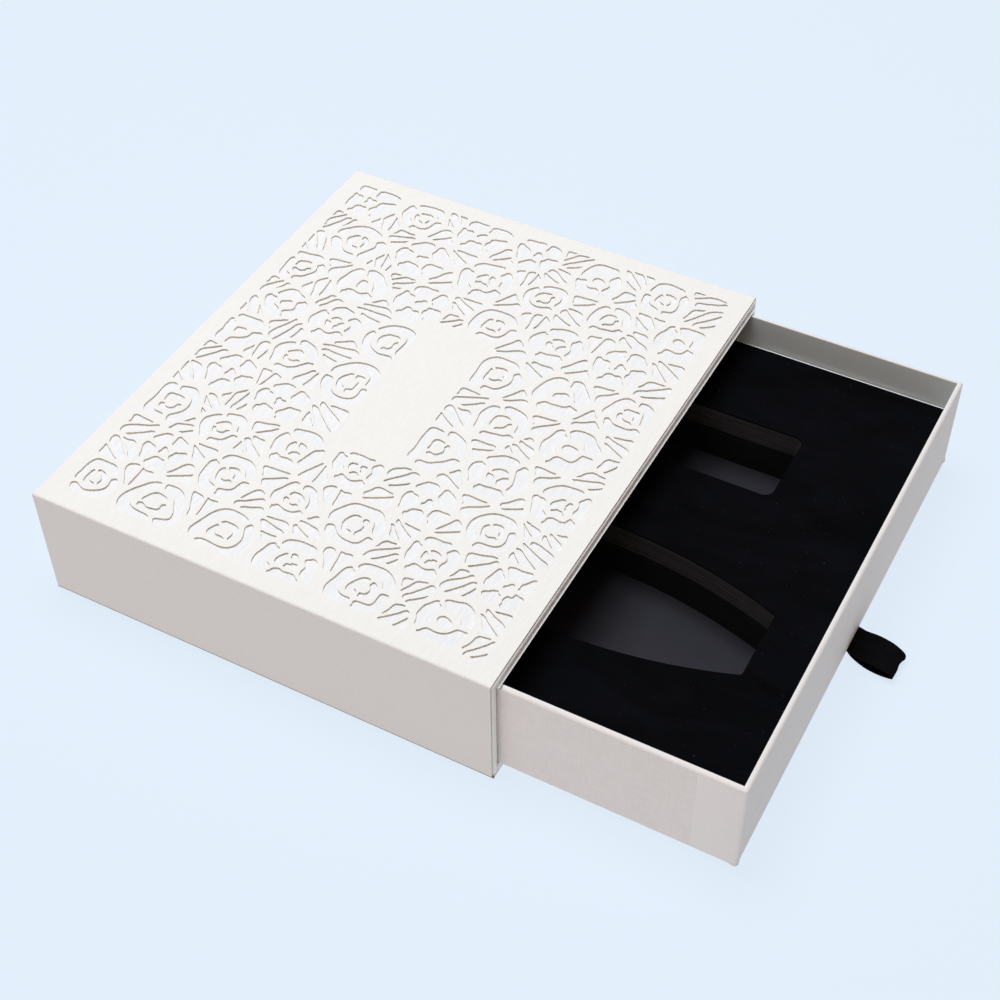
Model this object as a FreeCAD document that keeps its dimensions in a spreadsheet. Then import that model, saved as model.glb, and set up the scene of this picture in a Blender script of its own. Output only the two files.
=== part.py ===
import FreeCAD, Part
import math
import os
import re
import Sketcher

# A sleeve-and-drawer gift box of papered greyboard, with a laser-cut floral jacket over the sleeve.
# +X is the way the drawer pulls out, Y runs across it and +Z is up, all in millimetres.
# The origin is the middle of the sleeve's underside. The drawer stands part open.

SIZES = (
    ("sleeve_length", 168.5, "from the closed back to the mouth"),
    ("sleeve_width", 200.0, "across the sleeve"),
    ("sleeve_height", 45.0, "from the table to the cut jacket's top"),
    ("jacket_thickness", 0.7, "laser-cut card folded round the sleeve"),
    ("paper_thickness", 0.15, "every wrapping and lining paper"),
    ("sleeve_board", 2.0, "greyboard of the sleeve"),
    ("sleeve_turn_in", 15.0, "wrapping paper folded in at the mouth"),
    ("edge_round", 0.5, "pressed round on the showing edges of a board"),
    ("cover_round", 0.5, "round on the outer edges of the base flap and back cover"),
    ("running_gap", 0.25, "between the drawer's underside and the sleeve's floor"),
    ("side_clearance", 1.2, "between the drawer's side and the sleeve's"),
    ("top_clearance", 0.6, "between the drawer's rim and the sleeve's ceiling"),
    ("end_clearance", 0.5, "behind the drawer when its front is flush with the mouth"),
    ("drawer_open", 78.5, "how far the drawer stands out of the sleeve"),
    ("drawer_board", 1.5, "greyboard of the drawer's walls"),
    ("base_board", 2.0, "greyboard of the drawer's base"),
    ("lap_length", 15.0, "end paper folded round a corner on to the side"),
    ("rim_turn_in", 18.0, "wrapping paper folded in over the rim"),
    ("base_turn_in", 12.0, "wrapping paper folded in under the base"),
    ("insert_gap", 0.3, "between the insert and the drawer's inside"),
    ("base_card", 1.0, "card under the foam, the floor of the recesses"),
    ("lower_foam", 13.0, "lower layer of the insert"),
    ("upper_foam", 8.5, "upper layer of the insert"),
    ("face_card", 0.5, "white card that carries the flock"),
    ("flock_depth", 0.45, "flock pile on the face card"),
    ("flock_margin", 0.8, "white card left bare round the flock"),
    ("far_length", 82.5, "far recess along the drawer"),
    ("far_width", 31.0, "far recess across the drawer"),
    ("far_place", 40.3, "far recess's middle, from the drawer's middle"),
    ("far_corner", 3.5, "corner radius of the far recess"),
    ("near_length", 124.0, "near recess along the drawer"),
    ("near_middle", 49.5, "near recess's width at its middle"),
    ("near_end", 27.0, "near recess's width at its flat ends"),
    ("near_place", 35.3, "near recess's middle, from the drawer's middle"),
    ("near_corner", 1.5, "corner radius of the near recess"),
    ("ribbon_width", 11.5, "across the ribbon"),
    ("ribbon_ply", 0.35, "thickness of one ply of the ribbon"),
    ("ribbon_place", 1.3, "the ribbon's middle at the front, from the drawer's middle"),
    ("ribbon_tail", 20.0, "both ends glued under the base board, behind the front"),
    ("ribbon_slack", 0.1, "clear of the ribbon in its slit and under the base board"),
    ("loop_reach", 17.0, "from the drawer's front to the loop's tip"),
    ("loop_drift", 3.3, "how far the tip lies to the near side of the root"),
    ("loop_sag", 2.2, "how far the lower ply dips below the root"),
    ("loop_rise", 0.9, "how far the upper ply rises above the root"),
    ("tip_round", 0.45, "outer radius of the fold at the loop's tip"),
    ("cut_margin", 7.2, "plain border round the cutwork"),
    ("cut_pitch", 24.0, "between blossoms"),
    ("cut_bar", 1.6, "bar between neighbouring openings"),
    ("cut_vein", 1.1, "bar inside a blossom's heart or a leaf"),
    ("cut_blade", 2.7, "width of a slender leaf"),
    ("cut_least", 1.3, "least width of an opening"),
    ("plain_length", 27.0, "bare middle of the jacket, along the sleeve"),
    ("plain_width", 70.0, "bare middle of the jacket, across the sleeve"),
)

# Places that follow from the sizes, each spelled once and read by every piece that uses it.
PLACES = {
    # the sleeve, from the outside in
    "mouth": "sleeve_length / 2",
    "back": "0 - sleeve_length / 2",
    "side": "sleeve_width / 2",
    "wrap_back": "back + jacket_thickness",
    "wrap_side": "side - jacket_thickness",
    "wrap_top": "sleeve_height - jacket_thickness",
    "board_back": "wrap_back + paper_thickness",
    "board_mouth": "mouth - paper_thickness",
    "board_side": "wrap_side - paper_thickness",
    "board_foot": "jacket_thickness + paper_thickness",
    "board_head": "wrap_top - paper_thickness",
    "wall_back": "board_back + sleeve_board",
    "wall_side": "board_side - sleeve_board",
    "wall_foot": "board_foot + sleeve_board",
    "wall_head": "board_head - sleeve_board",
    "bay_back": "wall_back + paper_thickness",
    "bay_side": "wall_side - paper_thickness",
    "bay_floor": "wall_foot + paper_thickness",
    "bay_ceiling": "wall_head - paper_thickness",
    # the drawer, from the outside in
    "front": "mouth + drawer_open",
    "rear": "front - (mouth - bay_back - end_clearance)",
    "flank": "bay_side - side_clearance",
    "under": "bay_floor + running_gap",
    "rim": "bay_ceiling - top_clearance",
    "front_board": "front - paper_thickness",
    "rear_board": "rear + paper_thickness",
    "flank_board": "flank - paper_thickness",
    "foot_board": "under + paper_thickness",
    "rim_board": "rim - paper_thickness",
    "front_inner": "front_board - drawer_board",
    "rear_inner": "rear_board + drawer_board",
    "flank_inner": "flank_board - drawer_board",
    "tray_front": "front_inner - paper_thickness",
    "tray_rear": "rear_inner + paper_thickness",
    "tray_side": "flank_inner - paper_thickness",
    "base_top": "foot_board + base_board",
    "tray_floor": "base_top + paper_thickness",
    "tray_middle": "(tray_front + tray_rear) / 2",
    "turn_in_foot": "rim - rim_turn_in",
    # the insert, from the floor up
    "insert_front": "tray_front - insert_gap",
    "insert_rear": "tray_rear + insert_gap",
    "insert_side": "tray_side - insert_gap",
    "recess_floor": "tray_floor + base_card",
    "foam_joint": "recess_floor + lower_foam",
    "foam_top": "foam_joint + upper_foam",
    "card_top": "foam_top + face_card",
    "insert_top": "card_top + flock_depth",
    "far_head": "tray_middle + far_length / 2",
    "far_foot": "tray_middle - far_length / 2",
    "near_head": "tray_middle + near_length / 2",
    "near_foot": "tray_middle - near_length / 2",
    "near_swell": "(near_middle - near_end) / 2",
    "near_radius": "(near_length * near_length / 4 + near_swell * near_swell) / (2 * near_swell)",
    # the ribbon
    "ribbon_far": "ribbon_place + ribbon_width / 2",
    "ribbon_near": "ribbon_place - ribbon_width / 2",
    "ribbon_top": "foot_board + 2 * ribbon_ply",
    "tail_end": "front_inner - ribbon_tail",
    # the cut panel
    "cut_side": "side - cut_margin",
    "cut_end": "mouth - cut_margin",
}

doc = FreeCAD.newDocument("sleeve_and_drawer_box")
sheet = doc.addObject("Spreadsheet::Sheet", "Sizes")
for row, (name, value, meaning) in enumerate(SIZES, start=1):
    sheet.set(f"A{row}", name)
    sheet.set(f"B{row}", str(value))
    sheet.set(f"C{row}", meaning)
    sheet.setAlias(f"B{row}", name)
doc.recompute()
ALIASES = {name for name, value, meaning in SIZES}
pieces = {}


def rule(text):
    """Spells a rule in the sheet's own names, with each place in it written out."""
    def spell(word):
        name = word.group(0)
        if name in PLACES:
            return "(" + rule(PLACES[name]) + ")"
        return "Sizes." + name if name in ALIASES else name
    return re.sub(r"[a-z_]+", spell, text)


def size(text):
    """The number that a rule gives with the sizes as they stand."""
    return float(sheet.evalExpression(rule(text)))


def new_body(label):
    """An empty piece, listed under the name of its file."""
    body = doc.addObject("PartDesign::Body", label)
    body.Label = label
    pieces[label] = body
    return body


def new_sketch(body, name, role, height="0"):
    """A sketch on one of the body's own planes, raised along the plane's normal."""
    sketch = body.newObject("Sketcher::SketchObject", f"{body.Name}_{name}_outline")
    plane = next(item for item in body.Origin.OriginFeatures if item.Role == role)
    sketch.AttachmentSupport = [(plane, "")]
    sketch.MapMode = "FlatFace"
    sketch.setExpression("AttachmentOffset.Base.z", rule(height))
    return sketch


def place_corner(sketch, edge, across, up):
    """Ties the start of an edge to the two rules that give its place."""
    for kind, text in (("DistanceX", across), ("DistanceY", up)):
        index = sketch.addConstraint(Sketcher.Constraint(kind, -1, 1, edge, 1, size(text)))
        sketch.setExpression(f"Constraints[{index}]", rule(text))


def draw_outline(sketch, corners, bulges=None):
    """Closes a loop through the corners. An edge with a bulge is an arc of that radius."""
    bulges = bulges or {}
    first = sketch.GeometryCount
    count = len(corners)
    spots = [FreeCAD.Vector(size(across), size(up), 0) for across, up in corners]
    for index in range(count):
        start = spots[index]
        end = spots[(index + 1) % count]
        if index in bulges:
            radius = size(bulges[index])
            half = (end - start) / 2
            depth = radius - math.sqrt(radius ** 2 - half.Length ** 2)
            outward = FreeCAD.Vector(half.y, -half.x, 0).normalize() * depth
            sketch.addGeometry(Part.Arc(start, start + half + outward, end), False)
        else:
            sketch.addGeometry(Part.LineSegment(start, end), False)
    for index in range(count):
        after = first + (index + 1) % count
        here = first + index
        sketch.addConstraint(Sketcher.Constraint("Coincident", here, 2, after, 1))
        place_corner(sketch, here, *corners[index])
        if index in bulges:
            radius = Sketcher.Constraint("Radius", here, size(bulges[index]))
            sketch.setExpression(f"Constraints[{sketch.addConstraint(radius)}]", rule(bulges[index]))


def rectangle(low_x, high_x, low_y, high_y):
    return ((low_x, low_y), (high_x, low_y), (high_x, high_y), (low_x, high_y))


def add_block(body, name, along, across, up):
    """Adds a block between three pairs of places."""
    sketch = new_sketch(body, name, "XY_Plane", up[0])
    draw_outline(sketch, rectangle(*along, *across))
    pad = body.newObject("PartDesign::Pad", f"{body.Name}_{name}")
    pad.Profile = sketch
    pad.setExpression("Length", rule(f"({up[1]}) - ({up[0]})"))
    return pad


def cut_block(body, name, along, across, up):
    """Cuts a block between three pairs of places out of the body."""
    sketch = new_sketch(body, name, "XY_Plane", up[1])
    draw_outline(sketch, rectangle(*along, *across))
    pocket = body.newObject("PartDesign::Pocket", f"{body.Name}_{name}")
    pocket.Profile = sketch
    pocket.setExpression("Length", rule(f"({up[1]}) - ({up[0]})"))
    return pocket


def edges_at(shape, direction, **places):
    """Names the straight edges that run along one axis through the given places."""
    near_enough = size("paper_thickness") / 10
    found = []
    for number, edge in enumerate(shape.Edges, start=1):
        span = edge.BoundBox
        length = {"X": span.XLength, "Y": span.YLength, "Z": span.ZLength}
        if sum(length.values()) - length[direction] > near_enough:
            continue
        middle = {"x": span.Center.x, "y": span.Center.y, "z": span.Center.z}
        if all(abs(middle[axis] - place) < near_enough for axis, place in places.items()):
            found.append(f"Edge{number}")
    return found


def round_edges(body, name, wanted, radius):
    """Rounds the edges that each request in the list names by direction and place."""
    doc.recompute()
    base = body.Tip
    names = []
    for direction, places in wanted:
        names += edges_at(base.Shape, direction, **places)
    if not names:
        raise ValueError(f"{body.Label} has no edge to round for {name}")
    fillet = body.newObject("PartDesign::Fillet", f"{body.Name}_{name}")
    fillet.Base = (base, names)
    fillet.setExpression("Radius", rule(radius))
    return fillet


def mirrored_sides(inner, outer):
    """The near and far spans across the box between two distances from its middle."""
    return {"near": (f"0 - ({outer})", f"0 - ({inner})"), "far": (inner, outer)}


def make_sleeve_boards():
    """Five greyboards: top and bottom run full length, the sides and back stand between them."""
    full = ("0 - board_side", "board_side")
    along = ("board_back", "board_mouth")
    for label, up in (("sleeve_bottom_board", ("board_foot", "wall_foot")),
                      ("sleeve_top_board", ("wall_head", "board_head"))):
        body = new_body(label)
        add_block(body, "sheet", along, full, up)
        round_edges(body, "mouth_edges", [("Y", {"x": size("board_mouth")})], "edge_round")
    for side, across in mirrored_sides("wall_side", "board_side").items():
        body = new_body(f"sleeve_{side}_board")
        add_block(body, "sheet", ("wall_back", "board_mouth"), across, ("wall_foot", "wall_head"))
        round_edges(body, "mouth_edges", [("Z", {"x": size("board_mouth")})], "edge_round")
    back = new_body("sleeve_back_board")
    add_block(back, "sheet", ("board_back", "wall_back"), full, ("wall_foot", "wall_head"))


def make_sleeve_papers():
    """The white wrap under the jacket, turned in at the mouth, and the lining behind it."""
    wrap = new_body("sleeve_wrap")
    add_block(wrap, "outside", ("wrap_back", "mouth"), ("0 - wrap_side", "wrap_side"),
              ("jacket_thickness", "wrap_top"))
    cut_block(wrap, "board_space", ("board_back", "board_mouth"), ("0 - board_side", "board_side"),
              ("board_foot", "board_head"))
    cut_block(wrap, "mouth_opening", ("board_mouth - paper_thickness", "mouth"),
              ("0 - bay_side", "bay_side"), ("bay_floor", "bay_ceiling"))
    turned = ("mouth - sleeve_turn_in", "board_mouth")
    for side, across in mirrored_sides("bay_side", "wall_side").items():
        add_block(wrap, f"{side}_turn_in", turned, across, ("wall_foot", "wall_head"))
    inside = ("0 - bay_side", "bay_side")
    add_block(wrap, "floor_turn_in", turned, inside, ("wall_foot", "bay_floor"))
    add_block(wrap, "ceiling_turn_in", turned, inside, ("bay_ceiling", "wall_head"))

    lining = new_body("sleeve_lining")
    add_block(lining, "outside", ("wall_back", turned[0]), ("0 - wall_side", "wall_side"),
              ("wall_foot", "wall_head"))
    cut_block(lining, "bay", ("bay_back", turned[0]), inside, ("bay_floor", "bay_ceiling"))


def make_jacket_covers():
    """The jacket's glued base flap, which the box stands on, and the cover of the closed back."""
    flap = new_body("jacket_base_flap")
    add_block(flap, "sheet", ("wrap_back", "mouth"), ("0 - side", "side"), ("0", "jacket_thickness"))
    low = [("X", {"y": sign * size("side"), "z": 0}) for sign in (-1, 1)]
    round_edges(flap, "folds", low, "cover_round")

    cover = new_body("sleeve_back_cover")
    add_block(cover, "sheet", ("back", "wrap_back"), ("0 - side", "side"), ("0", "sleeve_height"))
    outline = [("Y", {"x": size("back")}), ("Z", {"x": size("back")})]
    round_edges(cover, "edges", outline, "cover_round")


def chance(*keys):
    """A steady number from 0 to 1 for each set of keys, so that the flowers vary but never change."""
    weight_shares = (12.9898, 78.233, 37.719)
    spread_share = 43758.5453
    wave = math.sin(sum((key + 1) * weight for key, weight in zip(keys, weight_shares))) * spread_share
    return wave - math.floor(wave)


class Panel:
    """The cut part of the jacket's top: an oblong with a bare oblong in its middle."""

    def __init__(self):
        self.half_length = size("cut_end")
        self.half_width = size("cut_side")
        self.bare_length = size("plain_length") / 2
        self.bare_width = size("plain_width") / 2

    def to_border(self, x, y):
        """How far a spot lies inside the border."""
        return min(self.half_length - abs(x), self.half_width - abs(y))

    def to_middle(self, x, y):
        """How far a spot lies outside the bare middle, less than zero inside it."""
        along = abs(x) - self.bare_length
        across = abs(y) - self.bare_width
        if max(along, across) < 0:
            return max(along, across)
        return math.hypot(max(along, 0), max(across, 0))

    def keep_in(self, cell, room):
        """Moves a cell's middle until it has room on the cut part."""
        along = abs(cell.x) - self.bare_length - room
        across = abs(cell.y) - self.bare_width - room
        if along < 0 and across < 0:
            if along > across:
                cell.x += math.copysign(along, cell.x)
            else:
                cell.y += math.copysign(across, cell.y)
        cell.x = max(room - self.half_length, min(cell.x, self.half_length - room))
        cell.y = max(room - self.half_width, min(cell.y, self.half_width - room))

    def limits(self, x, y):
        """The lines that an opening round a spot stops at: four borders and the nearest bare edge."""
        found = [((1, 0), self.half_length - x), ((-1, 0), self.half_length + x),
                 ((0, 1), self.half_width - y), ((0, -1), self.half_width + y)]
        nearest_x = max(-self.bare_length, min(x, self.bare_length))
        nearest_y = max(-self.bare_width, min(y, self.bare_width))
        away = math.hypot(nearest_x - x, nearest_y - y)
        if away > 0:
            found.append((((nearest_x - x) / away, (nearest_y - y) / away), away))
        return found


# How square a cell's outline is, and how far it may outgrow the cell's radius.
OUTLINE_SHARES = {"blossom": (9, 1.2), "leaf": (14, 2.4)}


class Cell:
    """The room of one blossom or spray of leaves, bounded by bars towards its neighbours."""

    def __init__(self, kind, x, y, radius, key):
        self.kind = kind
        self.x = x
        self.y = y
        self.radius = radius
        self.key = key
        self.limits = []

    def away_from(self, other):
        return math.hypot(other.x - self.x, other.y - self.y)

    def meet(self, others, panel, reach_of_view, bar):
        """Notes the panel's edges, and where the bar towards each neighbour stands by the two radii."""
        self.limits = panel.limits(self.x, self.y)
        for other in others:
            apart = self.away_from(other)
            if other is self or apart > reach_of_view:
                continue
            edge = (apart ** 2 + self.radius ** 2 - other.radius ** 2) / (2 * apart) - bar / 2
            direction = ((other.x - self.x) / apart, (other.y - self.y) / apart)
            self.limits.append((direction, edge))

    def reach(self, angle):
        """How far the cell's rounded outline lies from its middle along an angle."""
        sharpness, growth_share = OUTLINE_SHARES[self.kind]
        grazing_share = 0.1
        ray = (math.cos(angle), math.sin(angle))
        total = (growth_share * self.radius) ** -sharpness
        for direction, edge in self.limits:
            facing = ray[0] * direction[0] + ray[1] * direction[1]
            if facing > grazing_share:
                total += (edge / facing) ** -sharpness
        return total ** (-1 / sharpness)


def settle_blossoms(panel, pitch):
    """Blossoms in staggered rows, which then push each other apart until they lie evenly."""
    stagger_share = 0.25
    drift_share = 0.3
    radius_share = 0.345
    growth_share = 0.115
    sunken_share = 0.2
    room_share = 0.72
    spacing_share = 1.22
    rounds = 40
    columns = round(2 * panel.half_length / pitch)
    rows = round(2 * panel.half_width / (pitch * math.sqrt(3) / 2))
    step_x = 2 * panel.half_length / columns
    step_y = 2 * panel.half_width / rows
    blossoms = []
    for row in range(rows):
        for column in range(columns):
            stagger = stagger_share if row % 2 else -stagger_share
            across = column + 0.5 + stagger + drift_share * (chance(row, column, 1) - 0.5)
            up = row + 0.5 + drift_share * (chance(row, column, 2) - 0.5)
            x = across * step_x - panel.half_length
            y = up * step_y - panel.half_width
            radius = pitch * (radius_share + growth_share * chance(row, column, 3))
            if panel.to_middle(x, y) > -sunken_share * pitch:
                blossoms.append(Cell("blossom", x, y, radius, (row, column, 0)))
    for turn in range(rounds):
        for cell in blossoms:
            for other in blossoms:
                apart = cell.away_from(other)
                shortfall = spacing_share * (cell.radius + other.radius) - apart
                if other is not cell and shortfall > 0:
                    cell.x += (cell.x - other.x) / apart * shortfall / 4
                    cell.y += (cell.y - other.y) / apart * shortfall / 4
            panel.keep_in(cell, room_share * cell.radius)
    return blossoms


def fill_gaps(blossoms, panel, pitch, least):
    """A spray of leaves in each gap that the blossoms leave, the roomiest gap first."""
    fineness_share = 0.06
    most_share = 0.23
    step = fineness_share * pitch
    rooms = {}
    for row in range(math.ceil(2 * panel.half_width / step)):
        for column in range(math.ceil(2 * panel.half_length / step)):
            x = column * step - panel.half_length
            y = row * step - panel.half_width
            room = min([panel.to_border(x, y), panel.to_middle(x, y)]
                       + [math.hypot(x - cell.x, y - cell.y) - cell.radius for cell in blossoms])
            if room > least:
                rooms[x, y] = room
    leaves = []
    while rooms:
        x, y = max(rooms, key=rooms.get)
        radius = min(rooms[x, y], most_share * pitch)
        leaves.append(Cell("leaf", x, y, radius, (len(leaves), len(leaves) + 1, 0)))
        left = {}
        for spot, room in rooms.items():
            room = min(room, math.hypot(spot[0] - x, spot[1] - y) - radius)
            if room > least:
                left[spot] = room
        rooms = left
    return leaves


def lay_out_cells(panel, pitch, bar, least):
    """All cells of the cutwork, each with its limits."""
    blossoms = settle_blossoms(panel, pitch)
    cells = blossoms + fill_gaps(blossoms, panel, pitch, least + bar)
    for cell in cells:
        cell.meet(cells, panel, 2 * pitch, bar)
    return [cell for cell in cells if min(edge for direction, edge in cell.limits) > bar / 2]


# Five common flowers. A ring of petals is a count, its turn, where it begins and ends from middle to rim,
# and how ruffled it is. A heart is its lobes and how wide it is.
FLOWER_SHARES = (
    {"rings": ((5, 0.0, 0.40, 1.0, 0.12),), "heart": (3, 0.20)},
    {"rings": ((3, 0.0, 0.62, 1.0, 0.13), (2, 0.16, 0.22, 0.43, 0.14)), "heart": None},
    {"rings": ((4, 0.0, 0.56, 1.0, 0.13), (3, 0.11, 0.13, 0.37, 0.08)), "heart": None},
    {"rings": ((3, 0.0, 0.48, 1.0, 0.18),), "heart": (2, 0.24)},
    {"rings": ((2, 0.0, 0.66, 1.0, 0.12), (2, 0.25, 0.26, 0.46, 0.12)), "heart": None},
)


class Cutter:
    """Draws the openings of one cell as rings of points."""

    def __init__(self, cell):
        self.cell = cell
        self.openings = []

    def spot(self, angle, share):
        away = share * self.cell.reach(angle)
        return FreeCAD.Vector(self.cell.x + away * math.cos(angle), self.cell.y + away * math.sin(angle), 0)

    def between(self, start, stop, share, bar):
        """The two angles that half a bar leaves between, at one share of the reach."""
        low = start + math.asin(min(bar / 2 / (share * self.cell.reach(start)), 1))
        high = stop - math.asin(min(bar / 2 / (share * self.cell.reach(stop)), 1))
        return low, high

    def width(self, start, stop, share, bar):
        low, high = self.between(start, stop, share, bar)
        return (high - low) * share * self.cell.reach((start + stop) / 2)

    def petal(self, start, stop, inner, outer, bar, ruffle):
        """One opening between two angles and two shares of the reach, with straight sides along its bars."""
        step_share = 0.03
        widest_foot_share = 0.6
        while self.width(start, stop, inner, bar) < size("cut_least") / 2:
            inner += step_share
            if inner > widest_foot_share * outer:
                return
        shoulder_shares = ((0, 0.87), (0.07, 0.965), (0.2, 1), (0.35, 1), (0.5, 1), (0.65, 1), (0.8, 1),
                           (0.93, 0.965), (1, 0.87))
        foot_shares = ((1, 1.12), (0.8, 1), (0.5, 1), (0.2, 1), (0, 1.12))
        wave = 2 * math.pi * chance(*self.cell.key)
        waist = (outer + inner) / 2
        places = [(turn, outer * share * (1 + ruffle * math.cos(3 * math.pi * turn + wave) / 3))
                  for turn, share in shoulder_shares]
        places += [(1, waist)]
        places += [(turn, inner * share * (1 - ruffle * math.cos(2 * math.pi * turn + wave) / 2))
                   for turn, share in foot_shares]
        places += [(0, waist)]
        points = []
        for turn, share in places:
            low, high = self.between(start, stop, share, bar)
            points.append(self.spot(low + (high - low) * turn, min(share, 1)))
        self.openings.append(points)

    def ring(self, count, turn, inner, outer, bar, ruffle):
        """A ring of petals of uneven width."""
        unevenness_share = 0.22
        row, column, side = self.cell.key
        starts = [turn + (petal + unevenness_share * chance(row + petal, column, 7)) * 2 * math.pi / count
                  for petal in range(count)]
        for start, stop in zip(starts, starts[1:] + [starts[0] + 2 * math.pi]):
            self.petal(start, stop, inner, outer, bar, ruffle)

    def heart(self, turn, lobes, width):
        """A small lobed opening in a blossom's middle."""
        steps = 4 * lobes
        lobe_share = 0.22
        angles = [turn + 2 * math.pi * step / steps for step in range(steps)]
        self.openings.append([self.spot(angle, width * (1 + lobe_share * math.cos(lobes * (angle - turn))))
                              for angle in angles])

    def blossom(self):
        row, column, side = self.cell.key
        start = chance(row, column, 5)
        flower = FLOWER_SHARES[int(len(FLOWER_SHARES) * chance(row, column, 6))]
        for count, turn, inner, outer, ruffle in flower["rings"]:
            bar = size("cut_bar" if outer == 1 else "cut_vein")
            self.ring(count, 2 * math.pi * (start + turn), inner, outer, bar, ruffle)
        if flower["heart"]:
            self.heart(2 * math.pi * start, *flower["heart"])

    def leaf(self):
        """Slender blades that fan out from beyond the narrow end of the cell."""
        steps = 36
        pole_share = 0.9
        half = steps // 2
        outline = [self.spot(2 * math.pi * step / steps, 1) for step in range(steps)]
        longest = max(range(half), key=lambda step: (outline[step] - outline[step + half]).Length)
        ends = sorted((longest, longest + half), key=lambda step: (outline[(step + 3) % steps]
                                                                   - outline[step - 3]).Length)
        narrow = outline[ends[0]]
        along = outline[ends[1]] - narrow
        pole = narrow - along * pole_share
        turns = [(along.x * (point.y - pole.y) - along.y * (point.x - pole.x))
                 / (along.x * (point.x - pole.x) + along.y * (point.y - pole.y)) for point in outline]
        distance = along.Length * (0.5 + pole_share)
        lowest = math.atan(min(turns))
        fan = math.atan(max(turns)) - lowest
        vein = size("cut_vein")
        count = max(round((fan * distance + vein) / (size("cut_blade") + vein)), 1)
        heading = math.atan2(along.y, along.x)
        for number in range(count):
            blade = outline
            for place, side in ((number, 1), (number + 1, -1)):
                if 0 < place < count:
                    turn = heading + lowest + fan * place / count
                    inward = FreeCAD.Vector(-side * math.sin(turn), side * math.cos(turn), 0)
                    blade = clipped(blade, inward, pole.dot(inward) + vein / 2)
            if len(blade) > 2:
                self.openings.append(evened(blade, along))

    def draw(self):
        if self.cell.kind == "blossom":
            self.blossom()
        else:
            self.leaf()
        return self.openings


def clipped(points, direction, least):
    """The part of a ring of points that lies at least so far along a direction."""
    kept = []
    for here, after in zip(points, points[1:] + points[:1]):
        start = here.dot(direction) - least
        stop = after.dot(direction) - least
        if start >= 0:
            kept.append(here)
        if start * stop < 0:
            kept.append(here + (after - here) * (start / (start - stop)))
    return kept


def evened(points, tip_direction):
    """A few evenly spaced points on a ring, the first at its tip."""
    count = 10
    first = max(range(len(points)), key=lambda index: points[index].dot(tip_direction))
    ring = points[first:] + points[:first + 1]
    lengths = [0.0]
    for here, after in zip(ring, ring[1:]):
        lengths.append(lengths[-1] + (after - here).Length)
    even = []
    for step in range(count):
        place = lengths[-1] * step / count
        index = max(number for number, length in enumerate(lengths[:-1]) if length <= place)
        run = lengths[index + 1] - lengths[index]
        even.append(ring[index] + (ring[index + 1] - ring[index]) * ((place - lengths[index]) / run))
    return even


def opening_wire(points, height):
    """A smooth closed curve through an opening's points."""
    curve = Part.BSplineCurve()
    curve.interpolate([FreeCAD.Vector(point.x, point.y, height) for point in points], PeriodicFlag=True)
    return Part.Wire([curve.toShape()])


def clockwise(points):
    """The same ring of points, running clockwise seen from above."""
    after = points[1:] + points[:1]
    turning = sum(here.x * there.y - there.x * here.y for here, there in zip(points, after))
    return points if turning < 0 else points[::-1]


def draw_cutwork():
    """Every opening of the cutwork, as a wire on the underside of the jacket's top."""
    least = size("cut_least")
    wires = []
    for cell in lay_out_cells(Panel(), size("cut_pitch"), size("cut_bar"), least):
        for points in Cutter(cell).draw():
            wire = opening_wire(clockwise(points), size("wrap_top"))
            opening = Part.Face(wire)
            if opening.isValid() and 2 * opening.Area / wire.Length > least / 2:
                wires.append(wire)
    return wires


def make_jacket():
    """The laser-cut jacket: one sheet folded down both sides, its top full of upright openings."""
    side = size("side")
    inner_side = size("wrap_side")
    foot = size("jacket_thickness")
    low = size("wrap_top")
    high = size("sleeve_height")
    thickness = size("jacket_thickness")
    section = [(-side, foot), (-inner_side, foot), (-inner_side, low), (inner_side, low),
               (inner_side, foot), (side, foot), (side, high), (-side, high)]
    corners = [FreeCAD.Vector(size("wrap_back"), y, z) for y, z in section]
    fold = Part.Face(Part.makePolygon(corners + corners[:1]))
    folded = fold.extrude(FreeCAD.Vector(size("mouth - wrap_back"), 0, 0))
    rounds = edges_at(folded, "X", y=side, z=high) + edges_at(folded, "X", y=-side, z=high)
    folded = folded.makeFillet(thickness, [folded.getElement(name) for name in rounds])
    wires = draw_cutwork()
    faces = []
    for face in folded.Faces:
        span = face.BoundBox
        if span.ZLength > thickness / 2 or span.YLength < side:
            faces.append(face)
            continue
        plain = Part.Face(face.OuterWire)
        lift = FreeCAD.Vector(0, 0, span.Center.z - low)
        holes = [wire.translated(lift) for wire in wires]
        if plain.normalAt(0, 0).z < 0:
            holes = [hole.reversed() for hole in holes]
        faces.append(Part.Face([plain.OuterWire] + holes))
    for wire in wires:
        faces += wire.extrude(FreeCAD.Vector(0, 0, thickness)).Faces
    skin = Part.makeCompound(faces)
    skin.sewShape()
    solid = Part.makeSolid(skin.Shells[0])
    if solid.Volume < 0:
        solid.reverse()
    jacket = doc.addObject("Part::Feature", "sleeve_jacket")
    jacket.Label = "sleeve_jacket"
    jacket.Shape = solid
    pieces["sleeve_jacket"] = jacket
    print("openings in the jacket", len(wires))


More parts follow.
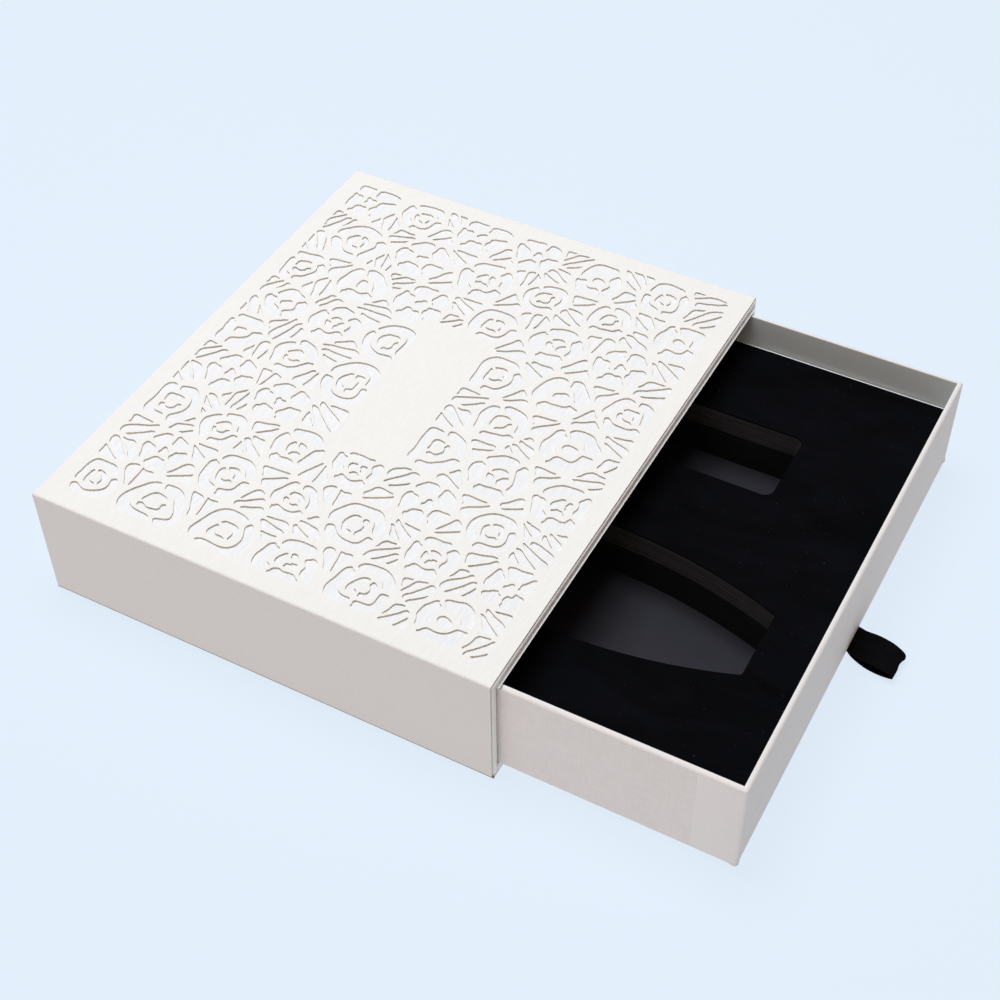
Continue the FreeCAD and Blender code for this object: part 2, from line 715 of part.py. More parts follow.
def make_drawer_boards():
    """Four walls round a base, with a shallow bed for the ribbon under the base and front wall."""
    full = ("0 - flank_board", "flank_board")
    tall = ("foot_board", "rim_board")
    ribbon_bed = ("ribbon_near - ribbon_slack", "ribbon_far + ribbon_slack")
    bed_height = ("foot_board", "ribbon_top + ribbon_slack")
    rim_height = size("rim_board")

    front = new_body("drawer_front_board")
    add_block(front, "sheet", ("front_inner", "front_board"), full, tall)
    cut_block(front, "ribbon_slot", ("front_inner", "front_board"), ribbon_bed, bed_height)
    rear = new_body("drawer_back_board")
    add_block(rear, "sheet", ("rear_board", "rear_inner"), full, tall)
    for body in (front, rear):
        round_edges(body, "rim_edges", [("Y", {"z": rim_height})], "edge_round")
    for side, across in mirrored_sides("flank_inner", "flank_board").items():
        body = new_body(f"drawer_{side}_board")
        add_block(body, "sheet", ("rear_inner", "front_inner"), across, tall)
        round_edges(body, "rim_edges", [("X", {"z": rim_height})], "edge_round")

    base = new_body("drawer_base_board")
    add_block(base, "sheet", ("rear_inner", "front_inner"), ("0 - flank_inner", "flank_inner"),
              ("foot_board", "base_top"))
    cut_block(base, "ribbon_bed", ("tail_end - ribbon_slack", "front_inner"), ribbon_bed, bed_height)


def make_end_wrap(label, outer, board, inner_board, inner, inward):
    """Paper on the front or back wall: face, rim, both turn-ins, and laps round the corners."""
    body = new_body(label)
    full = ("0 - (flank + paper_thickness)", "flank + paper_thickness")
    faces = {
        "face": ((outer, board), full, ("under", "rim")),
        "rim": ((board, inner_board), ("0 - flank_board", "flank_board"), ("rim_board", "rim")),
        "rim_turn_in": ((inner_board, inner), ("0 - flank_inner", "flank_inner"), ("turn_in_foot", "rim")),
        "base_turn_in": ((outer, f"({outer}) {inward} base_turn_in"), full, ("under", "foot_board")),
    }
    for side, across in mirrored_sides("flank", "flank + paper_thickness").items():
        along = (outer, f"({outer}) {inward} lap_length")
        faces[f"{side}_lap"] = (along, across, ("under", "rim - edge_round"))
    for name, (along, across, up) in faces.items():
        low_first = along if inward == "+" else along[::-1]
        add_block(body, name, low_first, across, up)
    return body


def make_drawer_papers():
    """Wrapping papers of the four walls, the paper under the base and the lining."""
    front = make_end_wrap("drawer_front_wrap", "front", "front_board", "front_inner", "tray_front", "-")
    cut_block(front, "ribbon_slit", ("front_board", "front"),
              ("ribbon_near - ribbon_slack", "ribbon_far + ribbon_slack"),
              ("foot_board", "ribbon_top + ribbon_slack"))
    make_end_wrap("drawer_back_wrap", "rear", "rear_board", "rear_inner", "tray_rear", "+")
    spans = {
        "face": (("rear_board", "front_board"), "flank_board", "flank", ("foot_board", "rim")),
        "rim": (("tray_rear", "tray_front"), "flank_inner", "flank_board", ("rim_board", "rim")),
        "rim_turn_in": (("tray_rear", "tray_front"), "tray_side", "flank_inner", ("turn_in_foot", "rim")),
        "base_turn_in": (("rear + base_turn_in", "front - base_turn_in"), "flank - base_turn_in", "flank",
                         ("under", "foot_board")),
    }
    for side in ("near", "far"):
        body = new_body(f"drawer_{side}_wrap")
        for name, (along, inner, outer, up) in spans.items():
            add_block(body, name, along, mirrored_sides(inner, outer)[side], up)

    under = new_body("drawer_base_paper")
    add_block(under, "sheet", ("rear + base_turn_in", "front - base_turn_in"),
              ("0 - (flank - base_turn_in)", "flank - base_turn_in"), ("under", "foot_board"))

    lining = new_body("drawer_lining")
    add_block(lining, "outside", ("rear_inner", "front_inner"), ("0 - flank_inner", "flank_inner"),
              ("base_top", "turn_in_foot"))
    cut_block(lining, "tray", ("tray_rear", "tray_front"), ("0 - tray_side", "tray_side"),
              ("tray_floor", "turn_in_foot"))


def cut_recesses(body, height, depth):
    """Cuts the two recesses through a layer: a rounded oblong, and a barrel with flat ends."""
    far = ("far_foot", "far_head", "far_place - far_width / 2", "far_place + far_width / 2")
    near = ("near_foot", "near_head", "0 - near_place - near_end / 2", "0 - near_place + near_end / 2")
    loops = {
        "far": (rectangle(*far), None),
        "near": (rectangle(*near), {0: "near_radius", 2: "near_radius"}),
    }
    for name, (corners, bulges) in loops.items():
        sketch = new_sketch(body, f"{name}_recess", "XY_Plane", height)
        draw_outline(sketch, corners, bulges)
        pocket = body.newObject("PartDesign::Pocket", f"{body.Name}_{name}_recess")
        pocket.Profile = sketch
        pocket.setExpression("Length", rule(depth))
        upright = [("Z", {"x": size(across), "y": size(up)}) for across, up in corners]
        round_edges(body, f"{name}_corners", upright, f"{name}_corner")


def make_insert():
    """The flocked foam insert, layer by layer, with both recesses down to the base card."""
    whole = (("insert_rear", "insert_front"), ("0 - insert_side", "insert_side"))
    bare_edge = (("insert_rear + flock_margin", "insert_front - flock_margin"),
                 ("0 - (insert_side - flock_margin)", "insert_side - flock_margin"))
    card = new_body("insert_base_card")
    add_block(card, "sheet", *whole, ("tray_floor", "recess_floor"))
    layers = (
        ("insert_lower_foam", whole, "recess_floor", "foam_joint", "lower_foam"),
        ("insert_upper_foam", whole, "foam_joint", "foam_top", "upper_foam"),
        ("insert_face_card", whole, "foam_top", "card_top", "face_card"),
        ("insert_flock", bare_edge, "card_top", "insert_top", "flock_depth"),
    )
    for label, (along, across), low, high, depth in layers:
        body = new_body(label)
        add_block(body, "sheet", along, across, (low, high))
        cut_recesses(body, high, depth)


def make_ribbon():
    """A folded ribbon: two plies glued under the base, opening into a loop past the front."""
    front = size("front")
    ply = size("ribbon_ply")
    root = size("foot_board")
    reach = size("loop_reach")
    near = size("ribbon_near")
    tip_round = size("tip_round")
    fullest_share = 0.55
    tip_height = root + ply - size("loop_sag") / 4

    def spot(out, height):
        return FreeCAD.Vector(front + out, near - size("loop_drift") * out / reach, height)

    crest = spot(fullest_share * reach, root + 2 * ply + size("loop_rise"))
    crest_inside = spot(fullest_share * reach, root + ply + size("loop_rise"))
    dip = spot(fullest_share * reach, root - size("loop_sag"))
    dip_inside = spot(fullest_share * reach, root + ply - size("loop_sag"))
    fold = reach - tip_round
    fold_top = spot(fold, tip_height + tip_round)
    fold_foot = spot(fold, tip_height - tip_round)
    outline = [
        Part.Arc(spot(0, root + 2 * ply), crest, fold_top).toShape(),
        Part.Arc(fold_top, spot(reach, tip_height), fold_foot).toShape(),
        Part.Arc(fold_foot, dip, spot(0, root)).toShape(),
        Part.LineSegment(spot(0, root), spot(0, root + 2 * ply)).toShape(),
    ]
    inside = [
        Part.Arc(spot(ply, root + ply), crest_inside, spot(fold, tip_height)).toShape(),
        Part.Arc(spot(fold, tip_height), dip_inside, spot(ply, root + ply)).toShape(),
    ]
    face = Part.Face([Part.Wire(outline), Part.Wire(inside)])
    face.validate()
    loop = doc.addObject("Part::Feature", "ribbon_loop")
    loop.Shape = face.extrude(FreeCAD.Vector(0, size("ribbon_width"), 0))

    tail = doc.addObject("Part::Box", "ribbon_tail")
    tail.setExpression("Length", rule("front - tail_end"))
    tail.setExpression("Width", rule("ribbon_width"))
    tail.setExpression("Height", rule("2 * ribbon_ply"))
    for axis, text in (("x", "tail_end"), ("y", "ribbon_near"), ("z", "foot_board")):
        tail.setExpression(f"Placement.Base.{axis}", rule(text))
    ribbon = doc.addObject("Part::MultiFuse", "ribbon_pull")
    ribbon.Label = "ribbon_pull"
    ribbon.Shapes = [tail, loop]
    pieces["ribbon_pull"] = ribbon


def check_and_write():
    """Stops at any failed feature or broken solid, and writes one file for each piece."""
    doc.recompute()
    for item in doc.Objects:
        if "Invalid" in item.State or "Error" in item.State:
            raise RuntimeError(f"{item.Label} failed: {item.State}")
    for label, item in pieces.items():
        shape = item.Shape
        if shape.isNull() or not shape.isValid() or not shape.Solids:
            raise RuntimeError(f"{label} has no valid solid")
    os.makedirs("parts", exist_ok=True)
    for label, item in pieces.items():
        item.Shape.exportStep(f"parts/{label}.step")
        print(label, len(item.Shape.Solids), round(item.Shape.Volume, 2))


make_sleeve_boards()
make_sleeve_papers()
make_jacket_covers()
make_jacket()
make_drawer_boards()
make_drawer_papers()
make_insert()
make_ribbon()
check_and_write()
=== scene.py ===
"""Looks of the sleeve-and-drawer gift box, laid out as a Blender add-on and run as a script."""
import math

import bmesh
import bpy
from bpy.props import FloatProperty, FloatVectorProperty, IntProperty, PointerProperty
from mathutils import Matrix, Vector


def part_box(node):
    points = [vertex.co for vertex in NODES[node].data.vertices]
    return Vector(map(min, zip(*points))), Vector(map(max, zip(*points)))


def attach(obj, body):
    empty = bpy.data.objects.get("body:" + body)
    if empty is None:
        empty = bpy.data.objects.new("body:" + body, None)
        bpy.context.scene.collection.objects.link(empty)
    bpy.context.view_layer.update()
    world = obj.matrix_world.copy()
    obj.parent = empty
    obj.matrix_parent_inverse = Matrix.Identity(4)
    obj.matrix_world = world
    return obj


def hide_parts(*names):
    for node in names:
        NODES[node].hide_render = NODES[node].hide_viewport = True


bl_info = {
    "name": "Sleeve and drawer gift box",
    "version": (1, 0, 0),
    "blender": (4, 5, 0),
    "location": "View3D > Sidebar > Gift Box",
    "description": "Papers, cut card, fitted insert, ribbon pull and studio for the packed gift box",
    "category": "Object",
}

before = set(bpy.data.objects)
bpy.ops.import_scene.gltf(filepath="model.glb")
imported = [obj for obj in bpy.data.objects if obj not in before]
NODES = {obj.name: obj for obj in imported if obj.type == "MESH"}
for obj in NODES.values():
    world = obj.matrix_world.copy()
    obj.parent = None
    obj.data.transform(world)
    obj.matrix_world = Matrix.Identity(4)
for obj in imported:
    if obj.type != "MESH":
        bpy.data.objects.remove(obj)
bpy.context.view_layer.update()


def low(node):
    """Lowest corner of a packed node."""
    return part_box(node)[0]


def high(node):
    """Highest corner of a packed node."""
    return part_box(node)[1]


# ---------------------------------------------------------------- sizes and colours

def length(name, description, default):
    return FloatProperty(name=name, description=description, default=default, min=0.0, unit="LENGTH",
                         subtype="DISTANCE", precision=5)


def colour(name, description, default):
    return FloatVectorProperty(name=name, description=description, default=default, size=3, min=0.0,
                               max=1.0, subtype="COLOR")


def whole(name, description, default):
    return IntProperty(name=name, description=description, default=default, min=0)


def strength(name, description, default):
    return FloatProperty(name=name, description=description, default=default, min=0.0, subtype="FACTOR",
                         soft_max=10)


class GiftBoxSleeve(bpy.types.PropertyGroup):
    """Sizes of the sleeve's card and paper."""
    outline_error: length("Outline Error", "How far an opening's outline may leave the packed one", 0.000012)
    mouth_round: length("Mouth Round", "Radius of the paper round the board at the mouth", 0.00095)
    mouth_reveal: length("Mouth Reveal", "How far the papered board stands out of the jacket", 0.0006)
    board_set_back: length("Board Set-back", "How far the flat boards end behind the packed ones", 0.0006)
    lip: length("Lip", "How far the turned-in paper's fold stands out under the top board", 0.0006)
    turn_in: length("Turn-in", "Paper folded in at the mouth", 0.015)
    turn_in_step: length("Turn-in Step", "How far the turned-in paper stands off the lining", 0.00006)


class GiftBoxDrawer(bpy.types.PropertyGroup):
    """Sizes of the drawer's papers."""
    rim_drop: length("Rim Drop", "How far the worn rim lies under the packed one", 0.0004)
    rim_round: length("Rim Round", "Outer radius of the paper over the rim", 0.00125)
    rim_corner_round: length("Rim Corner Round", "That radius where folded paper fills the corners", 0.0010)
    inner_round: length("Inner Round", "Inner radius of the paper over the rim", 0.00045)
    board_drop: length("Board Drop", "How far the boards' tops lie under the packed ones", 0.0009)
    board_trim: length("Board Trim", "How far the end boards stop short of the packed ones", 0.0005)
    corner_round: length("Corner Round", "Radius of the upright corners", 0.0009)
    foot_round: length("Foot Round", "Radius of the paper under the foot", 0.0004)
    foot_bulge: length("Foot Bulge", "How far folded paper swells the corners at the foot", 0.00035)
    lap_edge: length("Lap Edge", "Radius of the lap's cut edge", 0.00008)
    base_paper_step: length("Base Paper Step", "How far the paper under the base stands proud", 0.00006)
    slit_room: length("Slit Room", "Air round the ribbon in the front's slit", 0.0001)


class GiftBoxInsert(bpy.types.PropertyGroup):
    """The flocked face and what lies on it."""
    pile: length("Pile", "Height of the flock over its white card", 0.0001)
    # past this strip the card's outer edge is painted dark as painted shadow in the gap by the walls
    bare_card: length("Bare Card", "White card that shows round the flock", 0.0007)
    speck_count: whole("Specks", "Specks of lint on each square centimetre", 2)
    speck_size: length("Speck Size", "Length of an average speck", 0.00013)
    speck_seed: whole("Speck Seed", "Chooses where the specks lie", 4)


class GiftBoxRibbon(bpy.types.PropertyGroup):
    """Sizes of the ribbon pull."""
    ply: length("Ply", "Thickness of the ribbon", 0.00028)
    width: length("Width", "Across the ribbon", 0.0115)
    reach: length("Reach", "From the drawer's front to the loop's tip", 0.0168)
    drift: length("Drift", "How far the tip lies to the near side of the root", 0.0033)
    bow: length("Bow", "How far the loop's middle stands off its edges", 0.0003)
    rib_pitch: length("Rib Pitch", "Between the ribbon's cross ribs", 0.00035)


class GiftBoxColours(bpy.types.PropertyGroup):
    """Colours of the finishes."""
    card: colour("Card", "Cream card of the jacket", (0.92, 0.885, 0.825))
    # painted shade: the same card past its folds gets a darker colour where less light falls on the sides
    card_side_shade: colour("Card Side", "That card past its folds", (0.865, 0.828, 0.775))
    scorch: colour("Scorch", "Card where the laser cut it", (0.70, 0.635, 0.53))
    # the card's cut edge along the foot, darker than its scorched edges as painted contact shadow
    foot_edge_and_shadow: colour("Cut Foot", "The same card's browned edge along the foot", (0.27, 0.215, 0.17))
    paper: colour("Paper", "White paper of the sleeve under the jacket", (0.90, 0.885, 0.87))
    linen: colour("Linen Paper", "Grained white paper of the drawer", (0.882, 0.835, 0.80))
    # the tray's own lining paper, cooler and a little darker than the outer paper as painted shade on the
    # inner walls
    tray: colour("Tray Paper", "That paper inside the tray", (0.80, 0.84, 0.825))
    lap: colour("Lap Paper", "That paper where it laps round a corner", (0.905, 0.867, 0.835))
    board: colour("Greyboard", "Bare greyboard", (0.235, 0.225, 0.205))
    base_card: colour("Base Card", "Card on the recesses' floors", (0.0130, 0.0112, 0.0160))
    lower_foam: colour("Lower Foam", "Dark foam", (0.009, 0.011, 0.010))
    upper_foam: colour("Upper Foam", "Grey foam", (0.058, 0.057, 0.058))
    face_card: colour("Face Card", "White card under the flock", (0.88, 0.875, 0.86))
    flock: colour("Flock", "Black flock", (0.0031, 0.0032, 0.0041))
    lint: colour("Lint", "Specks of lint and paper dust", (0.36, 0.36, 0.40))
    ribbon: colour("Ribbon", "Black satin", (0.0034, 0.0034, 0.0044))
    floor: colour("Floor", "Pale floor and backdrop", (0.10, 0.11, 0.12))
    distance: colour("Distance", "What shows past the floor's edge", (0.73, 0.81, 0.90))
    floor_glow: colour("Floor Glow", "Even light that the floor gives off", (0.675, 0.762, 0.855))
    sky: colour("Sky", "Tint of the light from all round", (1.0, 0.78, 0.64))
    key: colour("Key", "Tint of the light above", (0.815, 0.905, 1.0))
    fill: colour("Fill", "Tint of the low light in front", (1.0, 0.72, 0.62))


class GiftBoxStudio(bpy.types.PropertyGroup):
    """Light and camera."""
    sky: strength("Sky", "Light from all round", 0.27)
    key: strength("Key", "Broad light above the box, in watts", 16.3)
    fill: strength("Fill", "Low light in front of the box, in watts", 1.85)
    lens: FloatProperty(name="Lens", description="Focal length on a 36 mm wide sensor", default=62.845,
                        unit="CAMERA")


# ---------------------------------------------------------------- materials

class Wiring:
    """Adds nodes to a tree, with their settings and what goes into their sockets."""

    def __init__(self, tree):
        self.tree = tree

    def add(self, kind, plugs=None, **settings):
        node = self.tree.nodes.new(kind)
        for name, value in settings.items():
            setattr(node, name, value)
        for socket, value in (plugs or {}).items():
            self.plug(node.inputs[socket], value)
        return node

    def plug(self, socket, value):
        if isinstance(value, bpy.types.NodeSocket):
            self.tree.links.new(value, socket)
        else:
            socket.default_value = value

    def math(self, operation, first, second=0.0, third=0.0):
        return self.add("ShaderNodeMath", {0: first, 1: second, 2: third}, operation=operation).outputs[0]

    def blend(self, first, share, second):
        """The sum of two values, the first by its share and the second by what is left."""
        parts = [self.math("MULTIPLY", value, by) for value, by in ((first, share), (second, 1.0 - share))]
        return self.math("ADD", *parts)

    def painted(self, geometry, material, **where):
        return self.add("GeometryNodeSetMaterial", {"Geometry": geometry, "Material": material,
                                                    **where}).outputs[0]

    def scaled(self, vector, scale):
        return self.add("ShaderNodeVectorMath", {0: vector, 1: scale}, operation="MULTIPLY").outputs[0]

    def noise(self, vector, scale, detail=2.0, roughness=0.5, distortion=0.0):
        return self.add("ShaderNodeTexNoise", {"Vector": vector, "Scale": scale, "Detail": detail,
                                               "Roughness": roughness, "Distortion": distortion}).outputs[0]

    def spread(self, value, start, stop):
        return self.add("ShaderNodeMapRange", {0: value, 1: start, 2: stop}).outputs[0]

    def mix(self, factor, first, second):
        return self.add("ShaderNodeMix", {0: factor, 6: first, 7: second}, data_type="RGBA").outputs[2]


def pattern_group(name, inputs, outputs, build):
    """A shared shader group. build gets the wiring and the inputs, and returns the outputs in order."""
    tree = bpy.data.node_groups.new(name, "ShaderNodeTree")
    for label, kind, default in inputs:
        socket = tree.interface.new_socket(name=label, in_out="INPUT", socket_type=kind)
        if default is not None:
            socket.default_value = default
    for label, kind in outputs:
        tree.interface.new_socket(name=label, in_out="OUTPUT", socket_type=kind)
    wiring = Wiring(tree)
    given = wiring.add("NodeGroupInput")
    made = wiring.add("NodeGroupOutput")
    for index, value in enumerate(build(wiring, given.outputs)):
        wiring.plug(made.inputs[index], value)
    return tree


def build_linen(wiring, given):
    """Crossed threads pressed into paper, lying in every face whichever way it looks."""
    place = given["Vector"]
    fine = wiring.math("DIVIDE", 1.0, given["Pitch"])
    coarse = wiring.math("MULTIPLY", fine, 0.09)
    threads = []
    for axis in range(3):
        scale = wiring.add("ShaderNodeCombineXYZ", {other: coarse if other == axis else fine
                                                    for other in range(3)})
        streak = wiring.noise(wiring.scaled(place, scale.outputs[0]), 1.0, detail=1.0, roughness=0.4)
        threads.append(wiring.spread(streak, 0.32, 0.68))
    sum_two = wiring.math("ADD", threads[0], threads[1])
    crossed = wiring.math("MULTIPLY", wiring.math("ADD", sum_two, threads[2]), 1 / 3)
    one_way = wiring.math("MULTIPLY", wiring.math("SUBTRACT", threads[1], crossed), given["One Way"])
    grain = wiring.math("ADD", crossed, one_way)
    mottle = wiring.noise(place, 90.0, detail=5.0, roughness=0.6)
    tone = wiring.blend(grain, 0.7, mottle)
    return grain, wiring.spread(tone, 0.3, 0.7)


def build_fibre(wiring, given):
    """Soft cloud and short fibres of plain paper or card."""
    place = given["Vector"]
    cloud = wiring.noise(place, given["Scale"], detail=6.0, roughness=0.62, distortion=0.4)
    fibre = wiring.noise(place, wiring.math("MULTIPLY", given["Scale"], 22.0), detail=3.0, roughness=0.7,
                         distortion=1.6)
    return fibre, cloud


def build_scorch(wiring, given):
    """Upright streaks and patches that a laser leaves on a cut edge."""
    place = given["Vector"]
    streak = wiring.noise(wiring.scaled(place, (6500.0, 6500.0, 260.0)), 1.0, detail=2.0, roughness=0.6)
    patch = wiring.noise(place, 90.0, detail=2.0)
    tone = wiring.blend(streak, 0.6, patch)
    return streak, wiring.spread(tone, 0.32, 0.66)


def build_flock(wiring, given):
    """Dense short pile with brushed patches."""
    place = given["Vector"]
    pile = wiring.noise(place, 5200.0, detail=2.0, roughness=0.8)
    brushed = wiring.noise(wiring.scaled(place, (26.0, 60.0, 60.0)), 1.0, detail=4.0, roughness=0.6,
                           distortion=0.8)
    return pile, wiring.spread(brushed, 0.3, 0.7)


def build_foam(wiring, given):
    """Closed cells, with the level marks that a knife leaves across a layer."""
    place = given["Vector"]
    cells = wiring.add("ShaderNodeTexVoronoi", {"Vector": place, "Scale": given["Cells"]},
                       feature="F1").outputs[0]
    knife = wiring.noise(wiring.scaled(place, (45.0, 45.0, 1600.0)), 1.0, detail=3.0, roughness=0.65)
    height = wiring.math("ADD", cells, wiring.math("MULTIPLY", knife, given["Knife"]))
    cloud = wiring.noise(place, 160.0, detail=4.0, roughness=0.6)
    tone = wiring.blend(knife, 0.75, cloud)
    return height, wiring.spread(tone, 0.3, 0.7)


def build_ribs(wiring, given):
    """Cross ribs and fine warp of a woven satin ribbon, on its own map in metres."""
    parts = wiring.add("ShaderNodeSeparateXYZ", {0: given["Map"]})
    turn = wiring.math("MULTIPLY", wiring.math("DIVIDE", parts.outputs[1], given["Pitch"]), 2 * math.pi)
    rib = wiring.spread(wiring.math("SINE", turn), -1.0, 1.0)
    warp = wiring.noise(wiring.scaled(given["Map"], (9000.0, 260.0, 1.0)), 1.0, detail=2.0)
    height = wiring.blend(rib, 0.6, warp)
    return height, wiring.noise(wiring.scaled(given["Map"], (500.0, 120.0, 1.0)), 1.0, detail=3.0)


def build_outside(wiring, given):
    """One past a band's borders along X and Y, nothing between them."""
    place, lowest, highest = [wiring.add("ShaderNodeSeparateXYZ", {0: given[index]}).outputs
                              for index in range(3)]
    mask = 0.0
    for axis in range(2):
        below = wiring.math("LESS_THAN", place[axis], lowest[axis])
        above = wiring.math("GREATER_THAN", place[axis], highest[axis])
        mask = wiring.math("MAXIMUM", mask, wiring.math("MAXIMUM", below, above))
    return (mask,)


def number_in(name, default):
    return name, "NodeSocketFloat", default


def vector_in(name):
    return name, "NodeSocketVector", None


HEIGHT_AND_TONE = (("Height", "NodeSocketFloat"), ("Tone", "NodeSocketFloat"))
MASK = (("Mask", "NodeSocketFloat"),)
PATTERNS = {
    "Linen Grain": ((vector_in("Vector"), number_in("Pitch", 0.0004), number_in("One Way", 0.0)),
                    build_linen),
    "Paper Fibre": ((vector_in("Vector"), number_in("Scale", 60.0)), build_fibre),
    "Laser Scorch": ((vector_in("Vector"),), build_scorch),
    "Flock Pile": ((vector_in("Vector"),), build_flock),
    "Foam Cells": ((vector_in("Vector"), number_in("Cells", 2600.0), number_in("Knife", 0.8)),
                   build_foam),
    "Ribbon Ribs": ((vector_in("Map"), number_in("Pitch", 0.00035)), build_ribs),
    "Outside Band": ((vector_in("Vector"), vector_in("Low"), vector_in("High")), build_outside),
}

# each finish: its colour, its pattern with the pattern's settings, its darkest and lightest shade, the
# depth of its relief, its roughness and its specular level
CARD_FINISH = ("card", "Linen Grain", {"Pitch": 0.00048, "One Way": 0.8}, (0.982, 1.013), 0.00003, 0.8, 0.25)
FINISHES = {
    "cream_card": CARD_FINISH,
    "flap_card": CARD_FINISH,
    "scorched_edge": ("scorch", "Laser Scorch", {}, (0.72, 1.2), 0.00003, 0.9, 0.15),
    "white_paper": ("paper", "Linen Grain", {"Pitch": 0.0005, "One Way": 1.0}, (0.972, 1.02), 0.00003,
                    0.8, 0.25),
    "linen_paper": ("linen", "Linen Grain", {"Pitch": 0.00048}, (0.965, 1.03), 0.00004, 0.75, 0.3),
    "tray_paper": ("tray", "Linen Grain", {"Pitch": 0.0005}, (0.975, 1.02), 0.00003, 0.8, 0.2),
    "lap_paper": ("lap", "Linen Grain", {"Pitch": 0.0006}, (0.985, 1.012), 0.00002, 0.7, 0.3),
    "greyboard": ("board", "Paper Fibre", {"Scale": 130.0}, (0.6, 1.4), 0.00005, 0.9, 0.5),
    "black_flock": ("flock", "Flock Pile", {}, (0.7, 1.5), 0.00012, 0.95, 0.02),
    "face_card": ("flock", "Paper Fibre", {"Scale": 90.0}, (0.9, 1.1), 0.00002, 0.85, 0.1),
    "grey_foam": ("upper_foam", "Foam Cells", {"Cells": 3000.0, "Knife": 1.6}, (0.5, 1.6), 0.00006,
                  0.85, 0.2),
    "dark_foam": ("lower_foam", "Foam Cells", {"Cells": 2400.0, "Knife": 0.5}, (0.6, 1.7), 0.00008,
                  0.9, 0.2),
    "base_card": ("base_card", "Paper Fibre", {"Scale": 110.0}, (0.7, 1.35), 0.00003, 0.6, 0.3),
    "lint": ("lint", "Paper Fibre", {"Scale": 900.0}, (0.5, 1.6), 0.00001, 0.9, 0.5),
    "black_satin": ("ribbon", "Ribbon Ribs", {}, (0.6, 1.8), 0.00003, 0.6, 0.02),
    "pale_floor": ("floor", "Paper Fibre", {"Scale": 3.0}, (0.99, 1.01), 0.00001, 0.95, 0.0),
}


def pattern(name):
    """The shared group of that name, made on first use."""
    if name not in bpy.data.node_groups:
        inputs, build = PATTERNS[name]
        pattern_group(name, inputs, MASK if build is build_outside else HEIGHT_AND_TONE, build)
    return bpy.data.node_groups[name]


def finish(name, bands=(), coordinate="Object", settings=None, shader=None):
    """The finish of that name as a material, whose tone and bump come from one shared pattern. Each band
    is another colour with the low and high borders past which it lies. Settings go to the pattern."""
    tint, pattern_name, own, shade, depth, roughness, specular = FINISHES[name]
    material = bpy.data.materials.new(name)
    material.use_nodes = True
    tree = material.node_tree
    tree.nodes.clear()
    wiring = Wiring(tree)
    place = wiring.add("ShaderNodeTexCoord").outputs[coordinate]
    group = wiring.add("ShaderNodeGroup", node_tree=pattern(pattern_name))
    wiring.plug(group.inputs[0], place)
    for socket, value in {**own, **(settings or {})}.items():
        wiring.plug(group.inputs[socket], value)

    def toned(colour):
        dark, light = [(*(min(channel * times, 1.0) for channel in colour), 1.0) for times in shade]
        return wiring.mix(group.outputs["Tone"], dark, light)

    tinted = toned(getattr(bpy.context.scene.giftbox_colours, tint))
    for colour, lowest, highest in bands:
        outside = wiring.add("ShaderNodeGroup", node_tree=pattern("Outside Band"))
        for socket, value in zip(outside.inputs, (place, lowest, highest)):
            wiring.plug(socket, value)
        tinted = wiring.mix(outside.outputs[0], tinted, toned(colour))
    bump = wiring.add("ShaderNodeBump", {"Strength": 1.0, "Distance": depth,
                                         "Height": group.outputs["Height"]})
    principled = wiring.add("ShaderNodeBsdfPrincipled", {
        "Base Color": tinted, "Roughness": roughness, "Normal": bump.outputs[0],
        "Specular IOR Level": specular, **(shader or {})})
    wiring.add("ShaderNodeOutputMaterial", {"Surface": principled.outputs[0]})
    return material


def dress(material, *nodes):
    """Gives packed nodes a finish."""
    for node in nodes:
        slots = NODES[node].material_slots
        if not slots:
            raise RuntimeError(f"{node} has no material slot")
        for slot in slots:
            slot.material = material


# ---------------------------------------------------------------- meshes

# how near points count as one, as level with a plane, and as lying on a side
WELD = 1e-7
HAIR = 1e-6
TOUCH = 1e-5
# the least part of a face's normal, or of an edge, along an axis that it is said to follow
FACING = 0.9
SQUARE_ON = 0.99
STRAIGHT = 0.999
SHARP_ANGLE = math.radians(35)
RIBBON_SHARP_ANGLE = math.radians(50)


def smooth_to(mesh, angle):
    """Smooth shading up to an angle between faces."""
    mesh.shade_smooth()
    mesh.set_sharp_from_angle(angle=angle)


def linked(name, data):
    """A new object with its data, linked to the scene."""
    made = bpy.data.objects.new(name, data)
    bpy.context.scene.collection.objects.link(made)
    return made


def new_piece(name, mesh_builder, materials, smooth_angle=None):
    """A mesh object at the origin from a builder that fills a bmesh."""
    mesh = bpy.data.meshes.new(name)
    shape = bmesh.new()
    mesh_builder(shape)
    shape.to_mesh(mesh)
    shape.free()
    for material in materials:
        mesh.materials.append(material)
    piece = linked(name, mesh)
    if smooth_angle is not None:
        smooth_to(mesh, smooth_angle)
    return piece


def settle(piece, body, slot, *replaced):
    """Fixes a piece to its body and hides the packed nodes that it stands for; slot is not used."""
    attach(piece, body)
    if replaced:
        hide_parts(*replaced)


def baked(piece, name):
    """A plain mesh object from a piece's evaluated modifiers. The piece itself is removed."""
    bpy.context.view_layer.update()
    graph = bpy.context.evaluated_depsgraph_get()
    mesh = bpy.data.meshes.new_from_object(piece.evaluated_get(graph), preserve_all_data_layers=True,
                                           depsgraph=graph)
    bpy.data.objects.remove(piece)
    mesh.name = name
    return linked(name, mesh)


def add_box(shape, lowest, highest):
    """Adds a box between two corners."""
    made = bmesh.ops.create_cube(shape, size=1.0)
    for vertex in made["verts"]:
        for axis in range(3):
            vertex.co[axis] = highest[axis] if vertex.co[axis] > 0 else lowest[axis]


def along(edge, axis):
    """True where an edge runs along one axis."""
    run = edge.verts[1].co - edge.verts[0].co
    return abs(run[axis]) > STRAIGHT * run.length > 0


def quarter_turns(steps):
    """Angles from nothing to a quarter turn."""
    return [math.pi / 2 * step / steps for step in range(steps + 1)]


# ---------------------------------------------------------------- the sleeve

